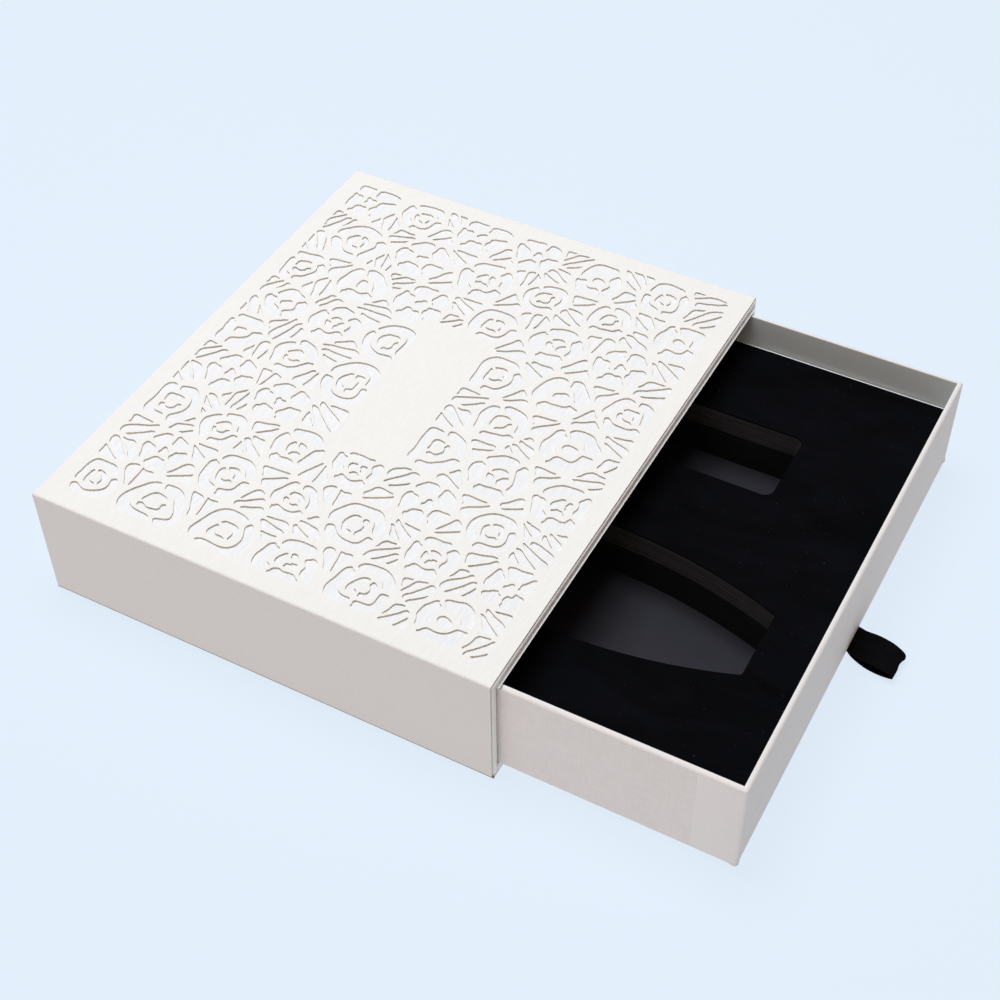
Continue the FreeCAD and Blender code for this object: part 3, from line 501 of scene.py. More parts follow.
def flat_loops(mesh, height):
    """Closed outlines of a packed node's level face at one height, as lists of points."""
    shape = bmesh.new()
    shape.from_mesh(mesh)
    bmesh.ops.remove_doubles(shape, verts=shape.verts, dist=WELD)
    # a dict keeps the faces in the mesh's order, where a set's order and so the outlines' starts change by run
    level = dict.fromkeys(face for face in shape.faces
                          if all(abs(vertex.co.z - height) < HAIR for vertex in face.verts))
    after = {}
    for face in level:
        for loop in face.loops:
            if not any(other in level for other in loop.edge.link_faces if other is not face):
                after[loop.vert] = loop.link_loop_next.vert
    loops = []
    while after:
        start = next(iter(after))
        points = []
        vertex = start
        while vertex in after:
            points.append(vertex.co.to_2d())
            vertex = after.pop(vertex)
        loops.append(points)
    shape.free()
    return loops


def thinned(points, error):
    """The fewest of a closed outline's points that keep it within an error."""
    far = max(range(len(points)), key=lambda index: (points[index] - points[0]).length)
    kept = []
    for start, stop in ((0, far), (far, len(points))):
        kept += thinned_run(points, start, stop, error)
    return kept


def thinned_run(points, start, stop, error):
    """Points of one open run, its last left out."""
    keep = {start}
    spans = [(start, stop)]
    count = len(points)
    while spans:
        here, there = spans.pop()
        first = points[here]
        run = points[there % count] - first
        across = Vector((-run.y, run.x)).normalized()
        worst = 0.0
        split = None
        for index in range(here + 1, there):
            away = abs((points[index] - first).dot(across))
            if away > worst:
                worst = away
                split = index
        if split is not None and worst > error:
            keep.add(split)
            spans += [(here, split), (split, there)]
    return [points[index] for index in sorted(keep)]


def outline_curve(name, loops):
    """A level curve object with one closed poly line for each outline."""
    curve = bpy.data.curves.new(name, "CURVE")
    curve.dimensions = "3D"
    for points in loops:
        spline = curve.splines.new("POLY")
        spline.points.add(len(points) - 1)
        for target, point in zip(spline.points, points):
            target.co = (point.x, point.y, 0.0, 1.0)
        spline.use_cyclic_u = True
    return linked(name, curve)


def nodes_modifier(piece, tree, values):
    """Puts a Geometry Nodes tree on a piece and sets its named inputs by their identifiers."""
    modifier = piece.modifiers.new(tree.name, "NODES")
    modifier.node_group = tree
    names = {item.name: item.identifier for item in tree.interface.items_tree if item.in_out == "INPUT"}
    for name, value in values.items():
        modifier[names[name]] = value


def geometry_tree(name, inputs):
    """A Geometry Nodes tree with a geometry input and output and the named inputs between."""
    tree = bpy.data.node_groups.new(name, "GeometryNodeTree")
    tree.interface.new_socket(name="Geometry", in_out="INPUT", socket_type="NodeSocketGeometry")
    for label, kind in inputs:
        tree.interface.new_socket(name=label, in_out="INPUT", socket_type=kind)
    tree.interface.new_socket(name="Geometry", in_out="OUTPUT", socket_type="NodeSocketGeometry")
    wiring = Wiring(tree)
    return tree, wiring, wiring.add("NodeGroupInput").outputs, wiring.add("NodeGroupOutput").inputs


def cut_sheet_tree():
    """Fills outlines to a sheet of card with its openings, gives it its thickness and its scorched edges."""
    tree, wiring, given, made = geometry_tree("Cut Sheet", (
        ("Level", "NodeSocketFloat"), ("Thickness", "NodeSocketFloat"), ("Card", "NodeSocketMaterial"),
        ("Cut Edge", "NodeSocketMaterial")))
    flat = wiring.add("GeometryNodeFillCurve", {0: given["Geometry"]}, mode="TRIANGLES").outputs[0]
    lift = wiring.add("ShaderNodeCombineXYZ", {2: given["Level"]}).outputs[0]
    filled = wiring.add("GeometryNodeTransform", {"Geometry": flat, "Translation": lift}).outputs[0]
    down = wiring.add("ShaderNodeCombineXYZ",
                      {2: wiring.math("MULTIPLY", given["Thickness"], -1.0)}).outputs[0]
    extruded = wiring.add("GeometryNodeExtrudeMesh", {"Mesh": filled, "Offset": down, "Offset Scale": 1.0,
                                                      "Individual": False}, mode="FACES")
    carded = wiring.painted(extruded.outputs["Mesh"], given["Card"])
    edged = wiring.painted(carded, given["Cut Edge"], Selection=extruded.outputs["Side"])
    face = wiring.painted(filled, given["Card"])
    joined = wiring.add("GeometryNodeJoinGeometry")
    wiring.plug(joined.inputs[0], edged)
    wiring.plug(joined.inputs[0], face)
    welded = wiring.add("GeometryNodeMergeByDistance", {"Geometry": joined.outputs[0], "Distance": WELD})
    real = wiring.add("GeometryNodeRealizeInstances", {"Geometry": welded.outputs[0]})
    wiring.plug(made[0], real.outputs[0])
    return tree


# faces this near to the panel's border lie on it, and a band's border this far off is never reached
BORDER_BAND = 0.0001
FAR_OFF = 1.0


class GIFTBOX_OT_jacket(bpy.types.Operator):
    """Remake the laser-cut jacket with clean edges, card on its faces and scorch in its openings"""
    bl_idname = "giftbox.jacket"
    bl_label = "Laser-cut Jacket"

    def execute(self, context):
        sizes = context.scene.giftbox_sleeve
        colours = context.scene.giftbox_colours
        reach = high("sleeve_wrap").y
        # past these borders lie the sides, where the bands paint shade: darker card, and on the flap its cut
        # edge with painted contact shadow
        borders = ((-FAR_OFF, -reach, 0.0), (FAR_OFF, reach, 0.0))
        card = finish("cream_card", [(colours.card_side_shade, *borders)])
        scorch = finish("scorched_edge")
        packed = NODES["sleeve_jacket"]
        top = high("sleeve_jacket").z
        foot = high("sleeve_wrap").z
        loops = [thinned(points, sizes.outline_error) for points in flat_loops(packed.data, top)]
        outlines = outline_curve("jacket_outlines", loops)
        nodes_modifier(outlines, cut_sheet_tree(), {"Level": top, "Thickness": top - foot, "Card": card,
                                                    "Cut Edge": scorch})
        sheet = baked(outlines, "jacket_sheet")
        border = max(abs(point.y) for points in loops for point in points) + HAIR
        mouth = high("sleeve_jacket").x

        def build(shape):
            shape.from_mesh(sheet.data)
            border_walls = [face for face in shape.faces if abs(face.normal.y) > SQUARE_ON
                            and abs(face.calc_center_median().y) > border - BORDER_BAND]
            bmesh.ops.delete(shape, geom=border_walls, context="FACES_ONLY")
            folds = bmesh.new()
            folds.from_mesh(packed.data)
            bmesh.ops.remove_doubles(folds, verts=folds.verts, dist=WELD)
            panel = [face for face in folds.faces if abs(face.calc_center_median().y) < border - BORDER_BAND]
            bmesh.ops.delete(folds, geom=panel, context="FACES")
            for face in folds.faces:
                face.material_index = 1 if face.normal.x > FACING else 0
            spare = bpy.data.meshes.new("jacket_folds")
            folds.to_mesh(spare)
            folds.free()
            shape.from_mesh(spare)
            bpy.data.meshes.remove(spare)
            bmesh.ops.remove_doubles(shape, verts=shape.verts, dist=HAIR)
            for vertex in shape.verts:
                if vertex.co.x > mouth - TOUCH:
                    vertex.co.x -= sizes.mouth_reveal

        materials = list(sheet.data.materials)
        jacket = new_piece("cut_jacket", build, materials, SHARP_ANGLE)
        bpy.data.objects.remove(sheet)
        settle(jacket, "sleeve", "cut_card", "sleeve_jacket")
        dress(card, "sleeve_back_cover")
        # the flap's sides take the dark brown foot colour: the cut edge with painted contact shadow
        dress(finish("flap_card", [(colours.foot_edge_and_shadow, *borders)]), "jacket_base_flap")
        return {"FINISHED"}


# how finely the mouth is rounded, and a first inset, whose points are moved at once
MOUTH_STEPS = 6
FIRST_INSET = 0.0001


class GIFTBOX_OT_sleeve_paper(bpy.types.Operator):
    """Wrap the sleeve's boards in one white paper with a rounded mouth"""
    bl_idname = "giftbox.sleeve_paper"
    bl_label = "Sleeve Paper"

    def execute(self, context):
        sizes = context.scene.giftbox_sleeve
        outer_low, outer_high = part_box("sleeve_wrap")
        skin = low("sleeve_back_board").x - outer_low.x
        bay_low = Vector((high("sleeve_back_board").x + skin, low("sleeve_lining").y + skin,
                          low("sleeve_lining").z + skin))
        bay_high = Vector((outer_high.x, high("sleeve_lining").y - skin, high("sleeve_lining").z - skin))

        def build(shape):
            sleeve_shell(shape, outer_low, outer_high, bay_low, bay_high, sizes.turn_in, sizes.turn_in_step)
            mouth = [edge for edge in shape.edges
                     if all(abs(vertex.co.x - outer_high.x) < WELD for vertex in edge.verts)
                     and (along(edge, 1) or along(edge, 2)) and len(edge.link_faces) == 2
                     and not all(abs(face.normal.x) > FACING for face in edge.link_faces)]
            bmesh.ops.bevel(shape, geom=mouth, offset=sizes.mouth_round, offset_type="OFFSET",
                            segments=MOUTH_STEPS, profile=0.5, affect="EDGES", clamp_overlap=True)
            add_box(shape, (outer_high.x - sizes.turn_in, bay_low.y + skin, bay_high.z - skin),
                    (outer_high.x + sizes.lip, bay_high.y - skin, bay_high.z))

        wrap = new_piece("sleeve_paper", build, [finish("white_paper")], SHARP_ANGLE)
        settle(wrap, "sleeve", "white_paper", "sleeve_wrap", "sleeve_lining")
        return {"FINISHED"}


def sleeve_shell(shape, outer_low, outer_high, bay_low, bay_high, step_at, step):
    """A closed block with a bay sunk into its +X side, wider by a step from one depth on."""
    add_box(shape, outer_low, outer_high)
    mouth = next(face for face in shape.faces if face.normal.x > FACING)
    bmesh.ops.inset_region(shape, faces=[mouth], thickness=FIRST_INSET, use_even_offset=True)

    def place(face, grow, depth):
        for vertex in face.verts:
            for side in (1, 2):
                upper = vertex.co[side] > (outer_low[side] + outer_high[side]) / 2
                vertex.co[side] = bay_high[side] + grow if upper else bay_low[side] - grow
            vertex.co.x = depth

    place(mouth, 0.0, outer_high.x)
    brink = outer_high.x - step_at
    for grow, depth in ((0.0, brink), (step, brink), (step, bay_low.x)):
        mouth = bmesh.ops.extrude_discrete_faces(shape, faces=[mouth])["faces"][0]
        place(mouth, grow, depth)
    bmesh.ops.recalc_face_normals(shape, faces=shape.faces)


# ---------------------------------------------------------------- the drawer

class GIFTBOX_OT_drawer_paper(bpy.types.Operator):
    """Wrap the drawer's walls in grained paper, with rounded rims and laps round its corners"""
    bl_idname = "giftbox.drawer_paper"
    bl_label = "Drawer Paper"

    def execute(self, context):
        sizes = context.scene.giftbox_drawer
        front_low, front_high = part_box("drawer_front_wrap")
        back_low = low("drawer_back_wrap")
        flank = high("drawer_far_wrap").y
        rim = front_high.z - sizes.rim_drop
        under = front_low.z
        skin = low("drawer_front_board").z - under
        outer_low = Vector((back_low.x, -flank, under))
        outer_high = Vector((front_high.x, flank, rim))
        lining_low = low("drawer_lining")
        tray_low = Vector((lining_low.x + skin, lining_low.y + skin, lining_low.z + skin))
        turned_in = outer_high.x - high("drawer_base_paper").x

        def build(shape):
            wall = tray_low.x - outer_low.x
            stages = tray_stages(sizes, wall, turned_in, under, rim, tray_low.z)
            loops = []
            for stage, _ in stages:
                points = rounded_rectangle(outer_low, outer_high, sizes.corner_round, stage)
                loops.append([shape.verts.new(point) for point in points])
            count = len(loops[0])
            for index, (first, second) in enumerate(zip(loops, loops[1:])):
                for at in range(count):
                    other = (at + 1) % count
                    face = shape.faces.new((first[at], first[other], second[other], second[at]))
                    face.material_index = 1 if stages[index][1] else 0
            shape.faces.new(loops[0])
            shape.faces.new(loops[-1]).material_index = 1
            bmesh.ops.recalc_face_normals(shape, faces=shape.faces)

        # inside the tray the paper takes its own finish, partly painted shade
        wrap = new_piece("drawer_paper", build, [finish("linen_paper"), finish("tray_paper")])
        ribbon = context.scene.giftbox_ribbon
        ribbon_side = high("ribbon_pull").y
        slit_low = (outer_high.x - 2 * skin, ribbon_side - ribbon.width - sizes.slit_room, under - skin)
        slit_high = (outer_high.x + skin, ribbon_side + sizes.slit_room,
                     low("drawer_front_board").z + 2 * ribbon.ply + sizes.slit_room)
        knife = new_piece("slit_knife", lambda shape: add_box(shape, slit_low, slit_high), [])
        notch = wrap.modifiers.new("Slit", "BOOLEAN")
        notch.operation = "DIFFERENCE"
        notch.solver = "EXACT"
        notch.object = knife
        tray = baked(wrap, "drawer_paper")
        bpy.data.objects.remove(knife)
        smooth_to(tray.data, SHARP_ANGLE)
        settle(tray, "drawer", "linen_paper", "drawer_front_wrap", "drawer_back_wrap", "drawer_near_wrap",
               "drawer_far_wrap", "drawer_lining", "drawer_base_paper")

        lap_length = front_high.x - front_low.x
        lap_out = front_high.y

        def build_laps(shape):
            for end in (1, -1):
                for side in (1, -1):
                    add_lap(shape, sizes, outer_high.x if end > 0 else outer_low.x, end, side, flank, lap_out,
                            lap_length, under + 3 * sizes.foot_round, rim - sizes.rim_round)
            bmesh.ops.recalc_face_normals(shape, faces=shape.faces)

        laps = new_piece("corner_laps", build_laps, [finish("lap_paper")], SHARP_ANGLE)
        settle(laps, "drawer", "linen_paper")
        return {"FINISHED"}


# what is left of the swelling at the foot's corners, by the height as times the foot's radius
FOOT_FADES = ((0.6, 2.0), (0.15, 3.5), (0.0, 5.0))
FOOT_STEPS = 3
RIM_STEPS = 7


def tray_stages(sizes, wall, turned_in, under, rim, floor):
    """The tray's section from its foot over the rim to its floor. Each stage gives an inset and a height
    for a point by its weight, and says whether the paper past it lies inside the tray."""
    def swell(fade):
        return lambda weight: -fade * sizes.foot_bulge * (1.0 - weight) ** 2

    def outer_round(weight):
        return sizes.rim_corner_round + (sizes.rim_round - sizes.rim_corner_round) * weight

    foot = sizes.foot_round
    stages = [(lambda weight: (turned_in, under - sizes.base_paper_step), False),
              (lambda weight: (turned_in, under), False)]
    for turn in quarter_turns(FOOT_STEPS):
        stages.append((lambda weight, turn=turn: (foot * (1 - math.sin(turn)) + swell(1.0)(weight),
                                                  under + foot * (1 - math.cos(turn))), False))
    for fade, times in FOOT_FADES:
        stages.append((lambda weight, fade=fade, times=times: (swell(fade)(weight), under + times * foot),
                       False))
    for turn in quarter_turns(RIM_STEPS):
        stages.append((lambda weight, turn=turn: (outer_round(weight) * (1 - math.cos(turn)),
                                                  rim - outer_round(weight) * (1 - math.sin(turn))), False))
    inner = sizes.inner_round
    for step, turn in enumerate(quarter_turns(RIM_STEPS)):
        stages.append((lambda weight, turn=turn: (wall - inner * (1 - math.sin(turn)),
                                                  rim - inner * (1 - math.cos(turn))), step > RIM_STEPS // 2))
    stages.append((lambda weight: (wall, floor), True))
    return stages


# points along a side by their distance past a corner's round, and their weight, which is nothing at corners
CORNER_MARKS = ((0.0007, 0.1), (0.0014, 0.4), (0.0022, 0.8), (0.0032, 1.0))
CORNERS = ((1, -1), (1, 1), (-1, 1), (-1, -1))
CORNER_STEPS = 6
LEAST_RADIUS = 0.00003


def rounded_rectangle(lowest, highest, corner, stage):
    """Points of one level loop round a rectangle. stage gives a point's inset and height by its weight."""
    points = []
    for number, (side_x, side_y) in enumerate(CORNERS):
        inset, height = stage(0.0)
        radius = max(corner - inset, LEAST_RADIUS)
        centre_x = (highest.x - inset - radius) if side_x > 0 else (lowest.x + inset + radius)
        centre_y = (highest.y - inset - radius) if side_y > 0 else (lowest.y + inset + radius)
        start = (number - 1) * math.pi / 2
        for distance, weight in reversed(CORNER_MARKS):
            points.append(side_point(lowest, highest, number, distance, stage(weight), corner, False))
        for turn in quarter_turns(CORNER_STEPS):
            points.append(Vector((centre_x + radius * math.cos(start + turn),
                                  centre_y + radius * math.sin(start + turn), height)))
        for distance, weight in CORNER_MARKS:
            points.append(side_point(lowest, highest, number, distance, stage(weight), corner, True))
    return points


def side_point(lowest, highest, number, distance, placed, corner, after):
    """A point on a side of the rectangle, at a distance past or before one of its corners."""
    inset, height = placed
    away = inset + max(corner - inset, LEAST_RADIUS) + distance
    side_x, side_y = CORNERS[number]
    along_x = (number % 2 == 1) == after
    near_x, far_x = (highest.x, -1) if side_x > 0 else (lowest.x, 1)
    near_y, far_y = (highest.y, -1) if side_y > 0 else (lowest.y, 1)
    if along_x:
        return Vector((near_x + far_x * away, near_y + far_y * inset, height))
    return Vector((near_x + far_x * inset, near_y + far_y * away, height))


# how far a lap reaches into the paper that it lies on, and how its cut edge and its head thin out
LAP_TUCK = 0.0001
LAP_EDGE_SHARE = 0.6
LAP_HEAD_EDGES = 6
LAP_HEAD_SHARE = 0.1


def add_lap(shape, sizes, end_x, end, side, flank, lap_out, lap_length, foot, head):
    """The end of a wrapping paper, carried round an upright corner and on along the side."""
    corner = sizes.corner_round
    edge = sizes.lap_edge
    grow = lap_out - flank
    outline = []
    for turn in quarter_turns(CORNER_STEPS):
        outline.append((end_x - end * corner + end * corner * math.cos(turn),
                        flank - corner + (corner + grow) * math.sin(turn)))
    outline.append((end_x - end * (lap_length - edge), lap_out))
    outline.append((end_x - end * lap_length, lap_out - LAP_EDGE_SHARE * edge))
    outline.append((end_x - end * lap_length, flank - LAP_TUCK))
    outline.append((end_x - end * corner, flank - LAP_TUCK))
    outline.append((end_x - end * LAP_TUCK, flank - corner))
    rows = []
    for height, furthest in ((foot, lap_out), (head - LAP_HEAD_EDGES * edge, lap_out),
                             (head, flank + LAP_HEAD_SHARE * edge)):
        rows.append([shape.verts.new((x, side * min(y, furthest), height)) for x, y in outline])
    shape.faces.new(rows[0])
    shape.faces.new(rows[-1])
    count = len(outline)
    for under, over in zip(rows, rows[1:]):
        for index in range(count):
            other = (index + 1) % count
            shape.faces.new((under[index], under[other], over[other], over[index]))


class GIFTBOX_OT_boards(bpy.types.Operator):
    """Set the speckled greyboards inside the rounded papers"""
    bl_idname = "giftbox.boards"
    bl_label = "Greyboard"

    def execute(self, context):
        board = finish("greyboard")
        walls = ["drawer_front_board", "drawer_back_board", "drawer_near_board", "drawer_far_board"]
        covers = ["sleeve_bottom_board", "sleeve_top_board"]
        dress(board, *[name for name in NODES if name.endswith("_board") and name not in walls + covers])
        mouth = high("sleeve_top_board").x
        set_back = context.scene.giftbox_sleeve.board_set_back
        drop = context.scene.giftbox_drawer.board_drop
        trim = context.scene.giftbox_drawer.board_trim
        near_low, near_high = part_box("drawer_near_board")
        middle_x = (near_high.x + near_low.x) / 2
        middle_x_reach = (near_high.x - near_low.x) / 2 - TOUCH

        def build(shape):
            for name in walls:
                shape.from_mesh(NODES[name].data)
            top = high("drawer_front_board").z
            side = high("drawer_front_board").y
            for vertex in shape.verts:
                if vertex.co.z > top - 4 * drop:
                    vertex.co.z -= drop
                if abs(vertex.co.y) > side - TOUCH and abs(vertex.co.x - middle_x) > middle_x_reach:
                    vertex.co.y -= math.copysign(trim, vertex.co.y)

        def build_covers(shape):
            for name in covers:
                shape.from_mesh(NODES[name].data)
            for vertex in shape.verts:
                if vertex.co.x > mouth - 2 * set_back:
                    vertex.co.x -= set_back

        lowered = new_piece("wall_boards", build, [board])
        settle(lowered, "drawer", "greyboard", *walls)
        shortened = new_piece("cover_boards", build_covers, [board])
        settle(shortened, "sleeve", "greyboard", *covers)
        return {"FINISHED"}


class GIFTBOX_OT_insert(bpy.types.Operator):
    """Finish the insert: black flock, white card edge, two foams and the recess floors"""
    bl_idname = "giftbox.insert"
    bl_label = "Fitted Insert"

    def execute(self, context):
        colours = context.scene.giftbox_colours
        sizes = context.scene.giftbox_insert
        face_low, face_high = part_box("insert_flock")
        edge = Vector((sizes.bare_card, sizes.bare_card, 0.0))
        # white card round the flock, and past that a dark band: painted shadow in the gap by the walls
        bands = [(colours.face_card, face_low, face_high),
                 (colours.flock, face_low - edge, face_high + edge)]

        def build(shape):
            shape.from_mesh(NODES["insert_flock"].data)
            for vertex in shape.verts:
                if vertex.co.z > face_high.z - TOUCH:
                    vertex.co.z = face_low.z + sizes.pile

        face = new_piece("flocked_face", build, [finish("black_flock")])
        settle(face, "drawer", "black_flock", "insert_flock")
        dress(finish("face_card", bands), "insert_face_card")
        for name, node in (("grey_foam", "insert_upper_foam"), ("dark_foam", "insert_lower_foam"),
                           ("base_card", "insert_base_card")):
            dress(finish(name), node)
        return {"FINISHED"}


# a fleck's most tilt and turn, and its least and most extent, as times the speck size
LINT_TURN = (0.6, 0.6, 2 * math.pi)
LINT_LEAST = (0.35, 0.3, 0.25)
LINT_MOST = (1.9, 0.7, 0.4)
SQUARE_CENTIMETRES = 1e4


def lint_tree():
    """Scatters small flakes over the level faces of what it is given."""
    tree, wiring, given, made = geometry_tree("Lint", (
        ("Density", "NodeSocketFloat"), ("Size", "NodeSocketFloat"), ("Seed", "NodeSocketInt"),
        ("Material", "NodeSocketMaterial")))
    normal = wiring.add("GeometryNodeInputNormal").outputs[0]
    up = wiring.add("ShaderNodeSeparateXYZ", {0: normal}).outputs[2]
    level = wiring.add("FunctionNodeCompare", {0: up, 1: FACING}, data_type="FLOAT",
                       operation="GREATER_THAN").outputs[0]
    points = wiring.add("GeometryNodeDistributePointsOnFaces", {
        "Mesh": given["Geometry"], "Selection": level, "Density": given["Density"], "Seed": given["Seed"]})
    flake = wiring.add("GeometryNodeMeshIcoSphere", {"Radius": 0.5, "Subdivisions": 1}).outputs[0]
    turn = wiring.add("FunctionNodeRandomValue", {"Max": LINT_TURN, "Seed": given["Seed"]},
                      data_type="FLOAT_VECTOR").outputs[0]
    stretch = wiring.add("FunctionNodeRandomValue", {
        "Min": LINT_LEAST, "Max": LINT_MOST, "Seed": given["Seed"]}, data_type="FLOAT_VECTOR").outputs[0]
    size = wiring.add("ShaderNodeVectorMath", {0: stretch, "Scale": given["Size"]},
                      operation="SCALE").outputs[0]
    flakes = wiring.add("GeometryNodeInstanceOnPoints", {"Points": points.outputs[0], "Instance": flake,
                                                         "Rotation": turn, "Scale": size})
    real = wiring.add("GeometryNodeRealizeInstances", {"Geometry": flakes.outputs[0]})
    wiring.plug(made[0], wiring.painted(real.outputs[0], given["Material"]))
    return tree


class GIFTBOX_OT_lint(bpy.types.Operator):
    """Scatter lint and paper dust over the flock"""
    bl_idname = "giftbox.lint"
    bl_label = "Lint"

    def execute(self, context):
        sizes = context.scene.giftbox_insert
        carrier = linked("lint_carrier", bpy.data.objects["flocked_face"].data.copy())
        nodes_modifier(carrier, lint_tree(), {
            "Density": sizes.speck_count * SQUARE_CENTIMETRES, "Size": sizes.speck_size,
            "Seed": sizes.speck_seed, "Material": finish("lint")})
        lint = baked(carrier, "lint_specks")
        settle(lint, "drawer", "white_card")
        return {"FINISHED"}


# the loop's edges, each as shares of its reach and heights above the slit, from the slit round the tip
# and back
NEAR_EDGE = ((0.04, -0.0003), (0.13, -0.0013), (0.26, -0.00215), (0.46, -0.00275), (0.71, -0.0024),
             (0.89, -0.00155), (0.98, -0.0009), (1.0, -0.00045), (0.97, 0.0001), (0.86, 0.0005),
             (0.58, 0.0005), (0.30, -0.0002), (0.10, 0.0001))
FAR_EDGE = ((0.04, -0.0001), (0.13, -0.0009), (0.26, -0.0015), (0.46, -0.0019), (0.71, -0.0017),
            (0.90, -0.0013), (1.01, -0.0008), (1.035, -0.0004), (1.01, 0.0001), (0.92, 0.0008),
            (0.74, 0.0016), (0.46, 0.0015), (0.18, 0.0004))
# how far the folded tip stands out or in, by the share of the way from its near to its far end
TIP_WAVE = ((0.0, 0.0), (0.3, 0.00005), (0.58, -0.00030), (0.70, -0.0001), (0.84, 0.00045), (0.93, 0.00035),
            (1.0, -0.00035))
TIP_WAVE_POWER = 6
# spans across the ribbon, and steps between two marks of an edge
ACROSS = 20
LINE_STEPS = 6
# how far the ends stop short of the packed ones, how far back the ribbon starts to lie flat, how the lower
# ply bows beside the upper, and what share of its ply the sheet is thick, so that the plies don't touch
TAIL_TUCK = 0.0005
ROOT_RUN = -0.010
LOWER_BOW_SHARE = -0.3
SHEET_SHARE = 0.9


def tip_wave(share):
    """How far the tip stands out at one share of its width."""
    for (start, low_wave), (stop, high_wave) in zip(TIP_WAVE, TIP_WAVE[1:]):
        if share <= stop:
            part = (share - start) / (stop - start)
            return low_wave + (high_wave - low_wave) * part * part * (3 - 2 * part)
    return TIP_WAVE[-1][1]


class GIFTBOX_OT_ribbon(bpy.types.Operator):
    """Lay the folded ribbon pull: two ends under the base, one open loop at the front"""
    bl_idname = "giftbox.ribbon"
    bl_label = "Ribbon Pull"

    def execute(self, context):
        sizes = context.scene.giftbox_ribbon
        satin = finish("black_satin", coordinate="UV", settings={"Pitch": sizes.rib_pitch})
        packed_low, packed_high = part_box("ribbon_pull")
        front = high("drawer_front_wrap").x
        root = low("drawer_front_board").z
        width = sizes.width
        near_at_root = packed_high.y - width
        ply = sizes.ply
        reach = sizes.reach
        tail = packed_low.x + TAIL_TUCK - front
        inside = [(tail, 0.5 * ply), (ROOT_RUN, 0.5 * ply), (0.0, 0.5 * ply)]
        above = [(0.0, 1.5 * ply), (ROOT_RUN, 1.5 * ply), (tail, 1.5 * ply)]
        edges = [smooth_line(inside + [(out * reach, rise) for out, rise in shares] + above, LINE_STEPS)
                 for shares in (NEAR_EDGE, FAR_EDGE)]

        def build(shape):
            map_layer = shape.loops.layers.uv.new("ribbon")
            lengths = [0.0]
            for first, second in zip(edges[0], edges[0][1:]):
                lengths.append(lengths[-1] + math.hypot(second[0] - first[0], second[1] - first[1]))
            rows = []
            for near, far in zip(*edges):
                row = []
                for step in range(ACROSS + 1):
                    share = step / ACROSS
                    out = near[0] + (far[0] - near[0]) * share
                    rise = near[1] + (far[1] - near[1]) * share
                    free = min(max(out / reach, 0.0), 1.0)
                    bow = sizes.bow * math.sin(math.pi * free) * math.sin(math.pi * share)
                    bow *= 1 if rise > 0 else LOWER_BOW_SHARE
                    out += free ** TIP_WAVE_POWER * tip_wave(share)
                    lean = -sizes.drift * max(out, 0.0) / reach
                    row.append(shape.verts.new((front + out, near_at_root + lean + width * share,
                                                root + rise + bow)))
                rows.append(row)
            for row in range(len(rows) - 1):
                for step in range(ACROSS):
                    spots = ((row, step), (row, step + 1), (row + 1, step + 1), (row + 1, step))
                    face = shape.faces.new([rows[at][side] for at, side in spots])
                    for loop, (at, side) in zip(face.loops, spots):
                        loop[map_layer].uv = (width * side / ACROSS, lengths[at])

        ribbon = new_piece("satin_ribbon", build, [satin])
        thicken = ribbon.modifiers.new("Ply", "SOLIDIFY")
        thicken.thickness = ply * SHEET_SHARE
        thicken.offset = 0.0
        ribbon = baked(ribbon, "satin_ribbon")
        smooth_to(ribbon.data, RIBBON_SHARP_ANGLE)
        settle(ribbon, "drawer", "black_satin", "ribbon_pull")
        return {"FINISHED"}


def smooth_line(points, steps):
    """A Catmull-Rom line through the points."""
    line = []
    count = len(points)
    for index in range(count - 1):
        before = Vector(points[max(index - 1, 0)])
        first = Vector(points[index])
        second = Vector(points[index + 1])
        beyond = Vector(points[min(index + 2, count - 1)])
        for step in range(steps):
            t = step / steps
            spot = 0.5 * (2 * first + (second - before) * t
                          + (2 * before - 5 * first + 4 * second - beyond) * t ** 2
                          + (3 * first - before - 3 * second + beyond) * t ** 3)
            line.append((spot.x, spot.y))
    line.append(tuple(points[-1]))
    return line


# ---------------------------------------------------------------- the studio

FLOOR_RADIUS = 6.0
FLOOR_SIDES = 96
# each lamp: its place, where it aims, and its size, a disc where both sides are alike
LAMPS = {
    "key": ((-0.15, 0.06, 1.30), (0.0, 0.0, 0.0), (0.9, 0.9)),
    "fill": ((-0.15, -1.20, 0.036), (-0.15, 0.0, 0.036), (1.3, 0.06)),
}
SENSOR_WIDTH = 36.0
NEAREST = 0.01
CAMERA_PLACE = Vector((0.2365, -0.37123, 0.44612))
CAMERA_RIGHT = Vector((0.88042, 0.474132, -0.007708))
CAMERA_UP = Vector((-0.336551, 0.636231, 0.694221))


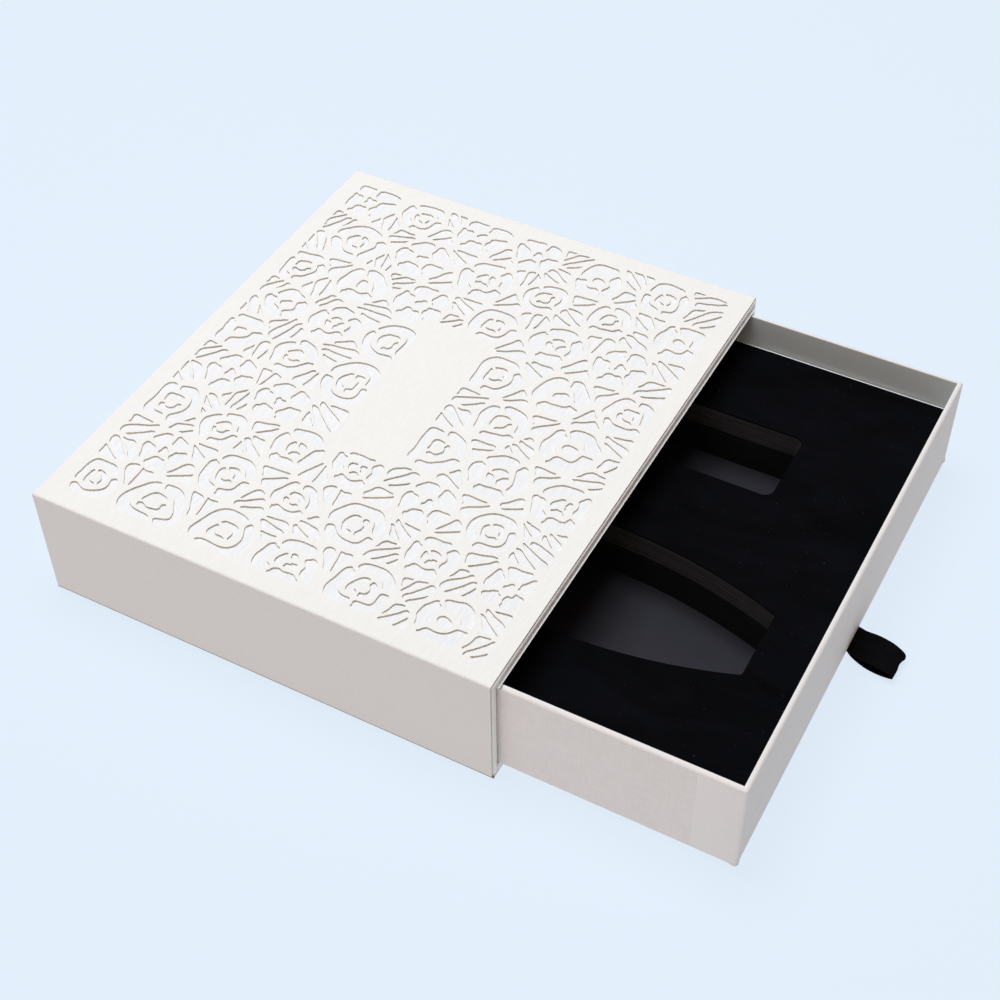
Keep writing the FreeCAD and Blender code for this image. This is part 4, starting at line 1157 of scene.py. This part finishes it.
class GIFTBOX_OT_studio(bpy.types.Operator):
    """Set the pale floor, the soft lights and the camera"""
    bl_idname = "giftbox.studio"
    bl_label = "Studio"

    def execute(self, context):
        settings = context.scene.giftbox_studio
        colours = context.scene.giftbox_colours
        floor_finish = finish("pale_floor", shader={"Emission Strength": 1.0,
                                                    "Emission Color": (*colours.floor_glow, 1.0)})

        def build(shape):
            bmesh.ops.create_circle(shape, cap_ends=True, segments=FLOOR_SIDES, radius=FLOOR_RADIUS)

        floor = new_piece("studio_floor", build, [floor_finish])

        world = bpy.data.worlds.new("studio_sky")
        context.scene.world = world
        world.use_nodes = True
        sky = world.node_tree.nodes["Background"]
        wiring = Wiring(world.node_tree)
        seen = wiring.add("ShaderNodeLightPath").outputs["Is Camera Ray"]
        wiring.plug(sky.inputs[0], wiring.mix(seen, (*colours.sky, 1.0), (*colours.distance, 1.0)))
        wiring.plug(sky.inputs[1], wiring.math("MULTIPLY_ADD", seen, 1.0 - settings.sky, settings.sky))

        for kind, (place, aim, size) in LAMPS.items():
            name = f"{kind}_light"
            light = bpy.data.lights.new(name, "AREA")
            light.shape = "RECTANGLE" if size[1] < size[0] else "DISK"
            light.size, light.size_y = size
            light.energy = getattr(settings, kind)
            light.color = getattr(colours, kind)
            lamp = linked(name, light)
            lamp.location = place
            lamp.rotation_euler = (Vector(aim) - Vector(place)).to_track_quat("-Z", "Y").to_euler()
            lamp.visible_camera = False

        camera = bpy.data.cameras.new("photo_camera")
        camera.lens = settings.lens
        camera.sensor_width = SENSOR_WIDTH
        camera.clip_start = NEAREST
        turned = Matrix((CAMERA_RIGHT, CAMERA_UP, CAMERA_RIGHT.cross(CAMERA_UP))).transposed().to_4x4()
        view = linked("photo_camera", camera)
        view.matrix_world = Matrix.Translation(CAMERA_PLACE) @ turned
        context.scene.camera = view
        context.scene.view_settings.view_transform = "Standard"
        return {"FINISHED"}


# ---------------------------------------------------------------- the add-on

PIECES = (GIFTBOX_OT_jacket, GIFTBOX_OT_sleeve_paper, GIFTBOX_OT_drawer_paper, GIFTBOX_OT_boards,
          GIFTBOX_OT_insert, GIFTBOX_OT_lint, GIFTBOX_OT_ribbon, GIFTBOX_OT_studio)
GROUPS = {
    "giftbox_sleeve": GiftBoxSleeve,
    "giftbox_drawer": GiftBoxDrawer,
    "giftbox_insert": GiftBoxInsert,
    "giftbox_ribbon": GiftBoxRibbon,
    "giftbox_colours": GiftBoxColours,
    "giftbox_studio": GiftBoxStudio,
}


class GIFTBOX_PT_panel(bpy.types.Panel):
    """Every step and every setting of the gift box"""
    bl_label = "Gift Box"
    bl_idname = "GIFTBOX_PT_panel"
    bl_space_type = "VIEW_3D"
    bl_region_type = "UI"
    bl_category = "Gift Box"

    def draw(self, context):
        for step in PIECES:
            self.layout.operator(step.bl_idname)
        for name, group in GROUPS.items():
            box = self.layout.box()
            box.label(text=group.__doc__)
            for setting in group.__annotations__:
                box.prop(getattr(context.scene, name), setting)


def register():
    for group in GROUPS.values():
        bpy.utils.register_class(group)
    for step in PIECES:
        bpy.utils.register_class(step)
    bpy.utils.register_class(GIFTBOX_PT_panel)
    for name, group in GROUPS.items():
        setattr(bpy.types.Scene, name, PointerProperty(type=group))


def unregister():
    for name in GROUPS:
        delattr(bpy.types.Scene, name)
    bpy.utils.unregister_class(GIFTBOX_PT_panel)
    for step in reversed(PIECES):
        bpy.utils.unregister_class(step)
    for group in reversed(list(GROUPS.values())):
        bpy.utils.unregister_class(group)


def main():
    register()
    for step in PIECES:
        area, name = step.bl_idname.split(".")
        getattr(getattr(bpy.ops, area), name)()


if __name__ == "__main__":
    main()
